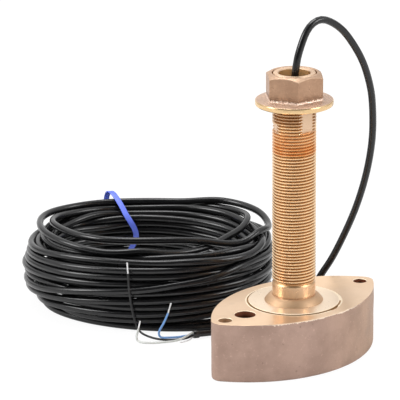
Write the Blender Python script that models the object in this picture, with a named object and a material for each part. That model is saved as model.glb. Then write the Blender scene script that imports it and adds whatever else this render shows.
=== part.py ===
"""Thru-hull sonar transducer with its coiled cable, in metres, +Z up.

The origin is the centre of the body's underside, on the stem's axis. +X runs along the
pointed-oval body and +Z up the threaded stem. The body is one bronze casting, the nut turns
on its stem, and the ceramic element sits in a pocket that opens downwards.
"""

import math

import bmesh
import bpy
from mathutils import Matrix, Vector

MM = 0.001
INCH = 25.4 * MM
GAP = 0.3 * MM  # between pieces that touch each other on the real object
OVERRUN = 1.0 * MM  # how far a cutter runs past the face that it opens

# Body: a pointed oval, two long bows that meet in round tips
BODY_LENGTH = 122.4 * MM
BODY_WIDTH = 68.0 * MM
BODY_HEIGHT = 35.0 * MM
BODY_TIP_RADIUS = 6.8 * MM
BODY_FOOT_ROUND = 2.0 * MM  # the cast lower edge is rounded
FOOT_ROUND_STEPS = 3
BOW_STEPS = 26
TIP_STEPS = 7

# Holes through the body, on its long middle line
TIP_HOLE_DIAMETER = 8.0 * MM
TIP_HOLE_MARGIN = 8.3 * MM  # from the body's tip to the hole's centre
KEY_HOLE_DIAMETER = 12.2 * MM
KEY_HOLE_WALL = 2.6 * MM  # metal between this hole and the pocket
HOLE_SEGMENTS = 28

# Stem: 1 inch, threaded, with a plain neck and a round boss at its foot
STEM_DIAMETER = 1.0 * INCH
STEM_RISE = 137.4 * MM  # above the body's top
STEM_BORE = 18.4 * MM
STEM_EDGE = 0.5 * MM  # chamfer at the stem's top
NECK_DIAMETER = 25.2 * MM
NECK_HEIGHT = 14.0 * MM
FOOT_DIAMETER = 34.4 * MM
FOOT_SHOULDER = 26.4 * MM
FOOT_HEIGHT = 4.5 * MM
FOOT_STEPS = 6
FOOT_SINK = 3.0 * MM  # how far the stem's blank starts inside the body
ROUND_SEGMENTS = 64

# Spot face: a turned ring groove round the foot, where the hull seal is bedded
SPOT_DIAMETER = 53.4 * MM
SPOT_GROOVE_WIDTH = 1.2 * MM
SPOT_GROOVE_DEPTH = 0.6 * MM

# Flats milled across the stem's thread, under the nut: (turn from +X, height of the middle)
FLAT_DEPTH = 1.7 * MM
FRONT_FLAT_TURN = math.radians(-89.5)
FRONT_FLAT_DROP = 27.0 * MM  # from the stem's top to the flat's middle
FRONT_FLAT_HEIGHT = 13.0 * MM
SIDE_FLAT_TURN = math.radians(156.0)
SIDE_FLAT_DROP = 32.0 * MM
SIDE_FLAT_HEIGHT = 4.6 * MM

# Hull nut: a hexagon on a round flange
NUT_HEIGHT = 19.6 * MM  # from the flange's underside to the top
NUT_ACROSS_FLATS = 30.8 * MM
NUT_TURN = math.radians(-5.0)
NUT_CHAMFER_DIAMETER = 29.0 * MM
NUT_CHAMFER_SLOPE = 0.577  # drop over run of the turned chamfer
FLANGE_DIAMETER = 45.2 * MM
FLANGE_RIM = 3.2 * MM
FLANGE_CROWN = 4.9 * MM  # height at which the flange meets the hexagon
CROWN_FILLET_RUN = 1.5 * MM  # the crown's soft edge, outside the flats and inside them
CROWN_FILLET_RISE = 0.8 * MM
CROWN_SEAT = 1.0 * MM
FLANGE_STEPS = 5
NUT_BOSS_DIAMETER = 28.0 * MM
NUT_BOSS_DROP = 1.2 * MM

# Pocket in the body and what it holds, from the window upwards
POCKET_DIAMETER = 58.0 * MM
POCKET_DEPTH = 27.0 * MM
WINDOW_THICKNESS = 4.0 * MM
CERAMIC_DIAMETER = 50.0 * MM
CERAMIC_THICKNESS = 10.0 * MM
PAD_THICKNESS = 3.0 * MM
SOLDER_DIAMETER = 2.8 * MM
SOLDER_HEIGHT = 0.8 * MM
SOLDER_ROOM = 0.9 * MM  # between a solder dot and the hole in the pad
LEAD_DIAMETER = 0.9 * MM
LEAD_SPREAD = 0.9 * MM  # each lead's distance from the middle plane
LEAD_OFFSET = 1.1 * MM
LEAD_CHANNEL = 6.6 * MM
LEAD_GROOVE = 2.8 * MM
LEAD_STEP = 1.2 * MM  # between the points of a lead
LEAD_BEND = 4.0 * MM  # room that a lead takes to turn
RETURN_REACH = 20.5 * MM  # where the return lead is soldered
SEAL_DROP = 8.0 * MM  # from the stem's top down to the resin round the cable

# Temperature sensor in the pocket's roof
SENSOR_DIAMETER = 3.0 * MM
SENSOR_LENGTH = 4.4 * MM
SENSOR_REACH = 19.5 * MM
SENSOR_BEND = 2.0 * MM
SENSOR_CORNER = 0.4 * MM

# Cable and its cut end
CABLE_DIAMETER = 4.3 * MM
CABLE_STEP = 2.0  # diameters between the points of a cord
COLLAR_LENGTH = 3.4 * MM
COLLAR_WALL = 0.4 * MM
WIRE_DIAMETER = 1.3 * MM
TIP_DIAMETER = 0.9 * MM
DRAIN_DIAMETER = 0.7 * MM
WIRE_STEP = 1.6

# Coil of the cable: an oval ring that lies behind the body
COIL_CENTRE = (-2.7 * MM, 131.8 * MM)
COIL_TURN = math.radians(-51.5)
COIL_LENGTH = 158.0 * MM
COIL_WIDTH = 122.0 * MM
COIL_HEIGHT = 48.0 * MM
COIL_WALL = 20.0 * MM
COIL_SEGMENTS = 72

# Tie: a flat strap round one side of the coil
TIE_WIDTH = 3.2 * MM
TIE_THICKNESS = 0.7 * MM
TIE_SLACK = 5.0 * MM
TIE_OUTER_ANGLE = math.radians(117.0)
TIE_INNER_ANGLE = math.radians(105.0)
TIE_STEP = 4.0 * MM
TIE_HUMP_START = 0.8  # share of the coil's height where the strap leaves it

# Facets of the small round pieces
SMALL_SEGMENTS = 16
ROOM_SEGMENTS = 20
CHANNEL_SEGMENTS = 24

BODY_TOP = BODY_HEIGHT
STEM_TOP = BODY_HEIGHT + STEM_RISE
CABLE_RADIUS = CABLE_DIAMETER / 2
TIP_HOLE_REACH = BODY_LENGTH / 2 - TIP_HOLE_MARGIN
KEY_HOLE_REACH = POCKET_DIAMETER / 2 + KEY_HOLE_WALL + KEY_HOLE_DIAMETER / 2


def clear_scene():
    for obj in list(bpy.data.objects):
        bpy.data.objects.remove(obj, do_unlink=True)


def finish(name, colour, roughness, metallic=0.0):
    """A material of its own for one piece."""
    material = bpy.data.materials.new(name)
    material.use_nodes = True
    shader = material.node_tree.nodes["Principled BSDF"]
    shader.inputs["Base Color"].default_value = (*colour, 1.0)
    shader.inputs["Roughness"].default_value = roughness
    shader.inputs["Metallic"].default_value = metallic
    return material


def add_object(name, data, material=None):
    obj = bpy.data.objects.new(name, data)
    bpy.context.scene.collection.objects.link(obj)
    if material:
        data.materials.append(material)
    return obj


def add_mesh(name, build, material=None, smooth_angle=35.0):
    """Fills a new mesh by build(bm), with smooth shading between its sharp edges."""
    bm = bmesh.new()
    build(bm)
    bmesh.ops.recalc_face_normals(bm, faces=bm.faces)
    mesh = bpy.data.meshes.new(name)
    bm.to_mesh(mesh)
    bm.free()
    mesh.shade_smooth()
    mesh.set_sharp_from_angle(angle=math.radians(smooth_angle))
    return add_object(name, mesh, material)


def turn_profile(profile, segments=ROUND_SEGMENTS, matrix=None):
    """Turns a closed outline of (radius, height) points round the Z axis."""

    def build(bm):
        corners = [bm.verts.new((radius, 0.0, height)) for radius, height in profile]
        edges = [bm.edges.new((a, b)) for a, b in zip(corners, corners[1:] + corners[:1])]
        bmesh.ops.spin(
            bm,
            geom=corners + edges,
            axis=(0, 0, 1),
            cent=(0, 0, 0),
            angle=2 * math.pi,
            steps=segments,
        )
        bmesh.ops.remove_doubles(bm, verts=bm.verts, dist=1e-6)
        on_axis = [e for e in bm.edges if all(v.co.xy.length < 1e-7 for v in e.verts)]
        bmesh.ops.delete(bm, geom=on_axis, context="EDGES")
        if matrix:
            bmesh.ops.transform(bm, matrix=matrix, verts=bm.verts)

    return build


def rod(radius, low, high, segments=ROUND_SEGMENTS, x=0.0, y=0.0):
    """An upright round bar between two heights."""

    def build(bm):
        bmesh.ops.create_cone(
            bm,
            cap_ends=True,
            segments=segments,
            radius1=radius,
            radius2=radius,
            depth=high - low,
            matrix=Matrix.Translation((x, y, (low + high) / 2)),
        )

    return build


def block(low, high, matrix=None):
    """A box between two corners, then placed by the matrix."""

    def build(bm):
        middle = (Vector(low) + Vector(high)) / 2
        size = Vector(high) - Vector(low)
        place = Matrix.Translation(middle) @ Matrix.Diagonal((*size, 1.0))
        bmesh.ops.create_cube(bm, size=1.0, matrix=(matrix or Matrix()) @ place)

    return build


def cutter(name, build):
    obj = add_mesh(name, build)
    obj.hide_render = True
    obj.display_type = "WIRE"
    return obj


def combine(obj, other, operation="DIFFERENCE"):
    modifier = obj.modifiers.new(other.name, "BOOLEAN")
    modifier.operation = operation
    modifier.object = other
    modifier.solver = "EXACT"


def pointed_oval(inset=0.0):
    """The body's outline, moved inwards by the inset: four arcs that meet smoothly."""
    half_length = BODY_LENGTH / 2 - inset
    half_width = BODY_WIDTH / 2 - inset
    tip = BODY_TIP_RADIUS - inset
    tip_centre = half_length - tip
    bow = (tip_centre**2 + half_width**2 - tip**2) / (2 * (half_width - tip))
    meet = math.atan2(bow - half_width, tip_centre)
    points = []
    for side in (1, -1):
        for step in range(BOW_STEPS):
            angle = meet + (math.pi - 2 * meet) * step / BOW_STEPS
            across = bow * math.sin(angle) - bow + half_width
            points.append((side * bow * math.cos(angle), side * across))
        for step in range(TIP_STEPS):
            angle = math.pi - meet + 2 * meet * step / TIP_STEPS
            along = tip * math.cos(angle) - tip_centre
            points.append((side * along, side * tip * math.sin(angle)))
    return points


def body_blank(bm):
    """The oval body without its pocket: rings of its outline, rounded at the lower edge."""
    levels = []
    for step in range(FOOT_ROUND_STEPS + 1):
        angle = math.pi / 2 * step / FOOT_ROUND_STEPS
        inset = BODY_FOOT_ROUND * (1 - math.sin(angle))
        levels.append((inset, BODY_FOOT_ROUND * (1 - math.cos(angle))))
    levels.append((0.0, BODY_HEIGHT))
    rings = []
    for inset, height in levels:
        rings.append([bm.verts.new((x, y, height)) for x, y in pointed_oval(inset)])
    bm.faces.new(rings[0])
    bm.faces.new(rings[-1])
    for lower, upper in zip(rings, rings[1:]):
        for i in range(len(lower)):
            j = (i + 1) % len(lower)
            bm.faces.new((lower[i], lower[j], upper[j], upper[i]))


def stem_profile():
    """Outline of the stem and its rounded foot, which starts inside the body."""
    foot, shoulder = FOOT_DIAMETER / 2, FOOT_SHOULDER / 2
    profile = [(0.0, BODY_TOP - FOOT_SINK), (foot, BODY_TOP - FOOT_SINK)]
    for step in range(FOOT_STEPS + 1):
        angle = math.pi / 2 * step / FOOT_STEPS
        radius = shoulder + (foot - shoulder) * math.cos(angle)
        profile.append((radius, BODY_TOP + FOOT_HEIGHT * math.sin(angle)))
    neck_top = BODY_TOP + NECK_HEIGHT
    stem = STEM_DIAMETER / 2
    profile += [
        (NECK_DIAMETER / 2, BODY_TOP + FOOT_HEIGHT),
        (NECK_DIAMETER / 2, neck_top),
        (stem, neck_top + (stem - NECK_DIAMETER / 2)),
        (stem, STEM_TOP - STEM_EDGE),
        (stem - STEM_EDGE, STEM_TOP),
        (0.0, STEM_TOP),
    ]
    return profile


def stem_flat(name, turn, drop, height):
    """A cutter beside the stem that mills one flat across its thread."""
    face = STEM_DIAMETER / 2 - FLAT_DEPTH
    middle = STEM_TOP - drop
    low = (face, -STEM_DIAMETER / 2, middle - height / 2)
    high = (STEM_DIAMETER / 2 + OVERRUN, STEM_DIAMETER / 2, middle + height / 2)
    return cutter(name, block(low, high, Matrix.Rotation(turn, 4, "Z")))


def make_housing():
    bronze = finish("cast_bronze", (0.62, 0.40, 0.25), 0.45, 1.0)
    housing = add_mesh("housing", body_blank, bronze)
    combine(housing, cutter("stem_blank", turn_profile(stem_profile())), "UNION")
    spot = SPOT_DIAMETER / 2
    groove = [
        (spot - SPOT_GROOVE_WIDTH, BODY_TOP - SPOT_GROOVE_DEPTH),
        (spot, BODY_TOP - SPOT_GROOVE_DEPTH),
        (spot, BODY_TOP + OVERRUN),
        (spot - SPOT_GROOVE_WIDTH, BODY_TOP + OVERRUN),
    ]
    cuts = {
        "pocket_cut": rod(POCKET_DIAMETER / 2, -OVERRUN, POCKET_DEPTH),
        "bore_cut": rod(STEM_BORE / 2, POCKET_DEPTH - OVERRUN, STEM_TOP + OVERRUN),
        "spot_groove_cut": turn_profile(groove),
        "sensor_cut": rod(
            SENSOR_DIAMETER / 2 + GAP,
            POCKET_DEPTH - OVERRUN,
            POCKET_DEPTH + SENSOR_LENGTH + 2 * GAP,
            HOLE_SEGMENTS // 2,
            x=SENSOR_REACH,
        ),
    }
    for name, reach, diameter in (
        ("port_tip_hole_cut", -TIP_HOLE_REACH, TIP_HOLE_DIAMETER),
        ("starboard_tip_hole_cut", TIP_HOLE_REACH, TIP_HOLE_DIAMETER),
        ("key_hole_cut", -KEY_HOLE_REACH, KEY_HOLE_DIAMETER),
    ):
        cuts[name] = rod(diameter / 2, -OVERRUN, BODY_TOP + OVERRUN, HOLE_SEGMENTS, x=reach)
    for name, build in cuts.items():
        combine(housing, cutter(name, build))
    for name, turn, drop, height in (
        ("front_flat_cut", FRONT_FLAT_TURN, FRONT_FLAT_DROP, FRONT_FLAT_HEIGHT),
        ("side_flat_cut", SIDE_FLAT_TURN, SIDE_FLAT_DROP, SIDE_FLAT_HEIGHT),
    ):
        combine(housing, stem_flat(name, turn, drop, height))


def flange_profile():
    """Outline of the nut's round flange: flat underside, small boss and crowned top."""
    rim, middle = FLANGE_DIAMETER / 2, FLANGE_RIM / 2
    inner = STEM_DIAMETER / 2 + GAP - OVERRUN
    flat = NUT_ACROSS_FLATS / 2
    profile = [
        (inner, -NUT_BOSS_DROP),
        (NUT_BOSS_DIAMETER / 2 - NUT_BOSS_DROP / 2, -NUT_BOSS_DROP),
        (NUT_BOSS_DIAMETER / 2, 0.0),
        (rim - middle / 2, 0.0),
    ]
    for step in range(1, FLANGE_STEPS):
        angle = math.pi * step / FLANGE_STEPS
        swell = middle / 2 * math.sin(angle)
        profile.append((rim - middle / 2 + swell, middle * (1 - math.cos(angle))))
    profile += [
        (rim - middle / 2, FLANGE_RIM),
        (flat + CROWN_FILLET_RUN, FLANGE_CROWN - CROWN_FILLET_RISE),
        (flat - CROWN_SEAT, FLANGE_CROWN),
        (inner, FLANGE_CROWN),
    ]
    return profile


def make_hull_nut():
    """Its own origin is on the joint's axis, at the flange's underside."""
    corner = NUT_ACROSS_FLATS / math.sqrt(3)
    chamfer = NUT_CHAMFER_DIAMETER / 2
    reach = corner + OVERRUN

    def hexagon(bm):
        turn = Matrix.Rotation(NUT_TURN, 4, "Z")
        place = Matrix.Translation((0, 0, (FLANGE_RIM + NUT_HEIGHT) / 2))
        bmesh.ops.create_cone(
            bm,
            cap_ends=True,
            segments=6,
            radius1=corner,
            radius2=corner,
            depth=NUT_HEIGHT - FLANGE_RIM,
            matrix=place @ turn,
        )

    envelope = [
        (0.0, 0.0),
        (reach, 0.0),
        (reach, NUT_HEIGHT - (reach - chamfer) * NUT_CHAMFER_SLOPE),
        (chamfer - OVERRUN, NUT_HEIGHT + OVERRUN * NUT_CHAMFER_SLOPE),
        (0.0, NUT_HEIGHT + OVERRUN * NUT_CHAMFER_SLOPE),
    ]
    bronze = finish("nut_bronze", (0.66, 0.43, 0.27), 0.4, 1.0)
    nut = add_mesh("hull_nut", hexagon, bronze)
    bore = rod(STEM_DIAMETER / 2 + GAP, -NUT_BOSS_DROP - OVERRUN, NUT_HEIGHT + OVERRUN)
    nut.location.z = STEM_TOP - NUT_HEIGHT
    for name, build, operation in (
        ("chamfer_envelope", turn_profile(envelope), "INTERSECT"),
        ("flange_blank", turn_profile(flange_profile()), "UNION"),
        ("nut_bore_cut", bore, "DIFFERENCE"),
    ):
        part = cutter(name, build)
        part.parent = nut
        combine(nut, part, operation)


def tube(name, points, diameter, material, sides=2):
    """A round cord or wire that follows the points, with closed ends."""
    curve = bpy.data.curves.new(name, "CURVE")
    curve.dimensions = "3D"
    curve.bevel_depth = diameter / 2
    curve.bevel_resolution = sides
    curve.use_fill_caps = True
    spline = curve.splines.new("POLY")
    spline.points.add(len(points) - 1)
    for point, place in zip(spline.points, points):
        point.co = (*place, 1.0)
    return add_object(name, curve, material)


def catmull_point(before, start, end, after, t):
    """A point between start and end on the smooth curve through all four."""
    return 0.5 * (
        2 * start
        + (end - before) * t
        + (2 * before - 5 * start + 4 * end - after) * t * t
        + (3 * start - before - 3 * end + after) * t**3
    )


def smooth_route(route, spacing, fine=24):
    """Evenly spaced points on one smooth curve through the route's own points."""
    knots = [Vector(point) for point in route]
    knots = [2 * knots[0] - knots[1]] + knots + [2 * knots[-1] - knots[-2]]
    dense = []
    for i in range(1, len(knots) - 2):
        for step in range(fine):
            dense.append(catmull_point(*knots[i - 1 : i + 3], step / fine))
    dense.append(knots[-2])
    lengths = [0.0]
    for a, b in zip(dense, dense[1:]):
        lengths.append(lengths[-1] + (b - a).length)
    count = max(2, round(lengths[-1] / spacing))
    points, i = [], 0
    for step in range(count + 1):
        target = lengths[-1] * step / count
        while i < len(lengths) - 2 and lengths[i + 1] < target:
            i += 1
        share = (target - lengths[i]) / (lengths[i + 1] - lengths[i])
        points.append(dense[i].lerp(dense[i + 1], min(share, 1.0)))
    return points


def in_metres(route):
    return [tuple(value * MM for value in point) for point in route]


def make_element():
    """The stack in the pocket: window, ceramic disc, its sleeve, its pad and the resin."""
    pocket = POCKET_DIAMETER / 2 - GAP
    ceramic_foot = WINDOW_THICKNESS + GAP
    ceramic_top = ceramic_foot + CERAMIC_THICKNESS
    pad_foot = ceramic_top + GAP
    pad_top = pad_foot + PAD_THICKNESS
    resin_foot = pad_top + GAP
    roof = POCKET_DEPTH - GAP
    window = finish("window_resin", (0.10, 0.09, 0.08), 0.4)
    ceramic = finish("silvered_ceramic", (0.72, 0.70, 0.66), 0.35, 0.6)
    cork = finish("cork", (0.40, 0.26, 0.15), 0.9)
    felt = finish("backing_cork", (0.36, 0.23, 0.14), 0.9)
    resin = finish("potting_resin", (0.05, 0.05, 0.055), 0.35)
    tin = finish("solder", (0.70, 0.70, 0.72), 0.3, 1.0)

    add_mesh("acoustic_window", rod(pocket, 0.0, WINDOW_THICKNESS), window)
    add_mesh("ceramic_disc", rod(CERAMIC_DIAMETER / 2, ceramic_foot, ceramic_top), ceramic)
    sleeve = [
        (CERAMIC_DIAMETER / 2 + GAP, ceramic_foot),
        (pocket, ceramic_foot),
        (pocket, pad_top),
        (CERAMIC_DIAMETER / 2 + GAP, pad_top),
    ]
    add_mesh("isolation_sleeve", turn_profile(sleeve), cork)

    signal_place = (-LEAD_OFFSET, LEAD_SPREAD)
    return_place = (-RETURN_REACH, -LEAD_SPREAD)
    pad = add_mesh("backing_pad", rod(CERAMIC_DIAMETER / 2, pad_foot, pad_top), felt)
    for label, (x, y) in (("signal", signal_place), ("return", return_place)):
        radius = SOLDER_DIAMETER / 2
        low, high = pad_foot - OVERRUN, pad_top + OVERRUN
        room = rod(radius + SOLDER_ROOM, low, high, ROOM_SEGMENTS, x, y)
        combine(pad, cutter(label + "_pad_hole", room))
        dot = rod(radius, pad_foot, pad_foot + SOLDER_HEIGHT, SMALL_SEGMENTS, x, y)
        add_mesh("solder_" + label, dot, tin)

    potting = add_mesh("body_potting", rod(pocket, resin_foot, roof), resin)
    half = LEAD_GROOVE / 2
    return_end = RETURN_REACH + SOLDER_DIAMETER / 2 + SOLDER_ROOM
    spread = LEAD_SPREAD + half
    sensor_end = SENSOR_REACH + SENSOR_DIAMETER
    cuts = {
        "lead_channel_cut": rod(
            LEAD_CHANNEL / 2, resin_foot - OVERRUN, roof + OVERRUN, CHANNEL_SEGMENTS
        ),
        "return_groove_cut": block(
            (-return_end, -spread, resin_foot - OVERRUN),
            (0.0, -LEAD_SPREAD + half, resin_foot + LEAD_GROOVE),
        ),
        "sensor_groove_cut": block(
            (0.0, -spread, roof - LEAD_GROOVE), (sensor_end, spread, roof + OVERRUN)
        ),
    }
    for name, build in cuts.items():
        combine(potting, cutter(name, build))

    lead_top = POCKET_DEPTH
    bend = resin_foot + LEAD_GROOVE / 2
    solder_top = pad_foot + SOLDER_HEIGHT + GAP
    red = finish("lead_red", (0.45, 0.05, 0.04), 0.5)
    grey = finish("lead_grey", (0.20, 0.20, 0.21), 0.5)
    heights = (lead_top, (lead_top + solder_top) / 2, solder_top)
    signal = [(*signal_place, height) for height in heights]
    corner = 0.25 * LEAD_BEND
    back = [
        (-LEAD_OFFSET, -LEAD_SPREAD, lead_top),
        (-LEAD_OFFSET, -LEAD_SPREAD, bend + LEAD_BEND),
        (-LEAD_OFFSET - corner, -LEAD_SPREAD, bend + corner),
        (-LEAD_OFFSET - LEAD_BEND, -LEAD_SPREAD, bend),
        (-RETURN_REACH + 3 * corner, -LEAD_SPREAD, bend),
        (-RETURN_REACH + corner / 2, -LEAD_SPREAD, bend - corner),
        (*return_place, solder_top),
    ]
    tube("lead_signal", smooth_route(signal, LEAD_BEND), LEAD_DIAMETER, red)
    tube("lead_return", smooth_route(back, LEAD_STEP), LEAD_DIAMETER, grey)

    glass = finish("sensor_bead", (0.25, 0.12, 0.06), 0.25)
    bead = rod(
        SENSOR_DIAMETER / 2,
        POCKET_DEPTH + GAP,
        POCKET_DEPTH + GAP + SENSOR_LENGTH,
        SMALL_SEGMENTS,
        SENSOR_REACH,
    )
    add_mesh("temperature_sensor", bead, glass)
    level = roof - LEAD_GROOVE / 2
    for label, side, colour in (("near", -1, (0.55, 0.45, 0.10)), ("far", 1, (0.10, 0.30, 0.12))):
        y = side * LEAD_SPREAD
        run = [
            (LEAD_OFFSET, y, lead_top),
            (LEAD_OFFSET + SENSOR_CORNER, y, level + SENSOR_CORNER),
            (LEAD_OFFSET + SENSOR_BEND, y, level),
            (SENSOR_REACH - SENSOR_BEND, y, level),
            (SENSOR_REACH - SENSOR_CORNER, y, level + SENSOR_CORNER),
            (SENSOR_REACH, y, lead_top),
        ]
        wire = finish("sensor_wire_" + label, colour, 0.5)
        tube("sensor_lead_" + label, smooth_route(run, LEAD_STEP), LEAD_DIAMETER, wire)


def make_stem_filling(jacket):
    """The resin that fills the stem's bore, and the stretch of cable cast into it."""
    top = STEM_TOP - SEAL_DROP
    foot = POCKET_DEPTH + GAP
    resin = finish("stem_resin", (0.045, 0.045, 0.05), 0.35)
    ring = [
        (CABLE_RADIUS + GAP, foot),
        (STEM_BORE / 2 - GAP, foot),
        (STEM_BORE / 2 - GAP, top),
        (CABLE_RADIUS + GAP, top),
    ]
    add_mesh("stem_seal", turn_profile(ring, ROUND_SEGMENTS // 2), resin)
    inside = smooth_route([(0.0, 0.0, foot), (0.0, 0.0, top)], CABLE_STEP * CABLE_DIAMETER)
    tube("cable_in_stem", inside, CABLE_DIAMETER, jacket)


# The cable from the resin in the stem, over its arch and down to the floor, in millimetres
ARCH_ROUTE = [
    (0.0, 0.0, 164.7),
    (0.2, -0.2, 170.0),
    (0.8, -0.6, 176.0),
    (1.8, -0.9, 181.3),
    (3.7, -1.0, 186.4),
    (7.0, -0.8, 192.6),
    (11.6, -0.8, 198.0),
    (18.5, -1.2, 200.4),
    (27.1, -1.9, 197.5),
    (35.8, -2.7, 190.8),
    (44.6, -3.3, 179.7),
    (52.0, -3.0, 167.7),
    (59.0, -1.3, 151.6),
    (63.5, 1.6, 135.7),
    (66.7, 5.2, 119.6),
    (68.2, 9.5, 103.6),
    (68.3, 14.4, 87.5),
    (67.0, 19.9, 71.4),
    (64.2, 25.9, 55.5),
    (59.9, 32.0, 39.7),
    (55.9, 36.0, 30.5),
    (50.9, 39.6, 20.4),
    (43.8, 43.6, 10.6),
    (34.9, 47.7, 4.6),
    (25.3, 52.0, 2.5),
    (16.0, 57.2, 2.3),
    (7.2, 64.6, 2.3),
]

# The cable from the coil, over the arch's foot and along the floor to its cut end
TAIL_ROUTE = [
    (46.1, 71.2, 9.6),
    (40.0, 62.6, 8.9),
    (32.6, 56.2, 8.1),
    (23.8, 52.3, 7.5),
    (14.4, 50.4, 5.9),
    (4.1, 51.2, 3.9),
    (-5.0, 53.8, 2.8),
    (-14.7, 57.8, 2.8),
    (-24.6, 62.2, 2.8),
]

# The bare conductors start at the jacket's end, in millimetres
BLACK_ROUTE = [
    (-25.3, 61.6, 2.35),
    (-29.5, 62.6, 1.3),
    (-35.0, 65.6, 0.8),
    (-40.6, 70.0, 0.8),
    (-43.4, 76.0, 0.8),
    (-44.1, 82.5, 0.8),
    (-44.0, 87.5, 1.2),
    (-44.6, 90.2, 3.2),
    (-46.2, 91.0, 8.5),
    (-49.0, 90.4, 17.5),
    (-51.4, 89.5, 29.0),
    (-52.3, 89.4, 40.0),
]
BLACK_TIP = [(-52.3, 89.4, 40.3), (-52.4, 89.6, 43.6), (-52.3, 90.0, 47.0)]
BLUE_ROUTE = [
    (-24.65, 63.1, 2.35),
    (-28.5, 64.8, 1.9),
    (-32.5, 67.4, 1.3),
    (-37.0, 71.6, 0.9),
    (-39.5, 74.6, 0.9),
    (-40.1, 75.9, 2.6),
    (-39.4, 75.8, 5.2),
    (-37.1, 74.3, 10.2),
    (-35.1, 73.2, 15.4),
]
BLUE_TIP = [(-35.0, 73.15, 15.7), (-34.2, 72.7, 18.8), (-33.4, 72.3, 21.8)]
WHITE_ROUTE = [
    (-25.0, 62.4, 3.7),
    (-30.0, 61.9, 3.05),
    (-36.5, 62.9, 1.5),
    (-45.6, 68.3, 0.8),
    (-51.9, 73.0, 0.8),
    (-54.4, 77.4, 1.0),
    (-54.6, 79.2, 3.2),
    (-53.1, 79.3, 8.1),
]
WHITE_TIP = [(-53.0, 79.25, 8.4), (-52.5, 79.0, 10.8), (-52.1, 78.7, 13.1)]
DRAIN_ROUTE = [(-24.97, 62.3, 1.1), (-29.0, 60.6, 0.6), (-33.0, 60.4, 0.5), (-36.0, 61.0, 0.5)]


def make_cable(jacket):
    arch = smooth_route(in_metres(ARCH_ROUTE), CABLE_STEP * CABLE_DIAMETER)
    tail = smooth_route(in_metres(TAIL_ROUTE), CABLE_STEP * CABLE_DIAMETER)
    tube("cable_arch", arch, CABLE_DIAMETER, jacket.copy())
    tube("cable_tail", tail, CABLE_DIAMETER, jacket.copy())
    direction = (tail[-1] - tail[-2]).normalized()
    collar = [
        (CABLE_RADIUS + GAP / 2, -COLLAR_LENGTH),
        (CABLE_RADIUS + GAP / 2 + COLLAR_WALL, -COLLAR_LENGTH),
        (CABLE_RADIUS + GAP / 2 + COLLAR_WALL, 0.0),
        (CABLE_RADIUS + GAP / 2, 0.0),
    ]
    place = Matrix.Translation(tail[-1]) @ direction.to_track_quat("Z", "Y").to_matrix().to_4x4()
    rubber = finish("collar_rubber", (0.02, 0.02, 0.02), 0.5)
    add_mesh("jacket_collar", turn_profile(collar, CHANNEL_SEGMENTS, place), rubber)

    tinned = finish("tinned_strands", (0.75, 0.75, 0.76), 0.35, 1.0)
    wires = (
        ("black", BLACK_ROUTE, BLACK_TIP, (0.02, 0.02, 0.02)),
        ("blue", BLUE_ROUTE, BLUE_TIP, (0.10, 0.25, 0.65)),
        ("white", WHITE_ROUTE, WHITE_TIP, (0.75, 0.75, 0.72)),
    )
    for label, route, tip, colour in wires:
        insulation = finish("insulation_" + label, colour, 0.4)
        points = smooth_route(in_metres(route), WIRE_STEP * WIRE_DIAMETER)
        tube("wire_" + label, points, WIRE_DIAMETER, insulation)
        tube("wire_tip_" + label, in_metres(tip), TIP_DIAMETER, tinned.copy())
    drain = smooth_route(in_metres(DRAIN_ROUTE), WIRE_STEP * WIRE_DIAMETER)
    tube("drain_wire", drain, DRAIN_DIAMETER, tinned.copy())


# Section of the coil, clockwise from its inner lower corner: share of half the wall outwards
# from the middle line, and share of the height. The lower turns are the smaller ones.
COIL_SECTION = [
    (-1.1, 0.0),
    (-0.3, 0.0),
    (0.3, 0.1),
    (0.75, 0.25),
    (1.0, 0.45),
    (1.0, 0.68),
    (0.85, 0.88),
    (0.5, 1.0),
    (-0.4, 1.0),
    (-0.9, 0.9),
    (-1.1, 0.6),
    (-1.2, 0.25),
]


def coil_point(angle, offset, height):
    """A point beside the coil's oval middle line, outwards by the offset."""
    half_length = (COIL_LENGTH - COIL_WALL) / 2
    half_width = (COIL_WIDTH - COIL_WALL) / 2
    middle = Vector((half_length * math.cos(angle), half_width * math.sin(angle), height))
    outwards = Vector((half_width * math.cos(angle), half_length * math.sin(angle), 0.0)).normalized()
    return middle + outwards * offset


def coil_place():
    return Matrix.Translation((*COIL_CENTRE, 0.0)) @ Matrix.Rotation(COIL_TURN, 4, "Z")


def shifted_outline(corners, shifts):
    """The outline with each edge moved outwards by its own shift."""
    lines = []
    for (x0, y0), (x1, y1), shift in zip(corners, corners[1:] + corners[:1], shifts):
        along = Vector((x1 - x0, y1 - y0)).normalized()
        lines.append((Vector((x0, y0)) + Vector((along.y, -along.x)) * shift, along))
    moved = []
    for (start, before), (other, after) in zip([lines[-1]] + lines[:-1], lines):
        share = (other - start).cross(after) / before.cross(after)
        moved.append(start + before * share)
    return moved


def tie_loop():
    """Places round the coil's section where the strap runs: (angle, offset, height)."""
    half = COIL_WALL / 2
    section = [(x * half, y * COIL_HEIGHT) for x, y in COIL_SECTION]
    clear = 2 * GAP + TIE_THICKNESS / 2
    shifts = []
    for (_, low), (_, high) in zip(section, section[1:] + section[:1]):
        shifts.append(-clear if low == high == 0 else clear)
    corners = shifted_outline(section, shifts)
    loop = []
    for start, end in zip(corners, corners[1:] + corners[:1]):
        count = math.ceil((end - start).length / TIE_STEP)
        for step in range(count):
            offset, height = start.lerp(end, step / count)
            rise = max(0.0, height / COIL_HEIGHT - TIE_HUMP_START) / (1 - TIE_HUMP_START)
            across = min(max(0.5 + offset / COIL_WALL, 0.0), 1.0)
            turn = TIE_INNER_ANGLE + (TIE_OUTER_ANGLE - TIE_INNER_ANGLE) * across
            loop.append((turn, offset, height + TIE_SLACK * rise * (2 - rise)))
    return loop


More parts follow.
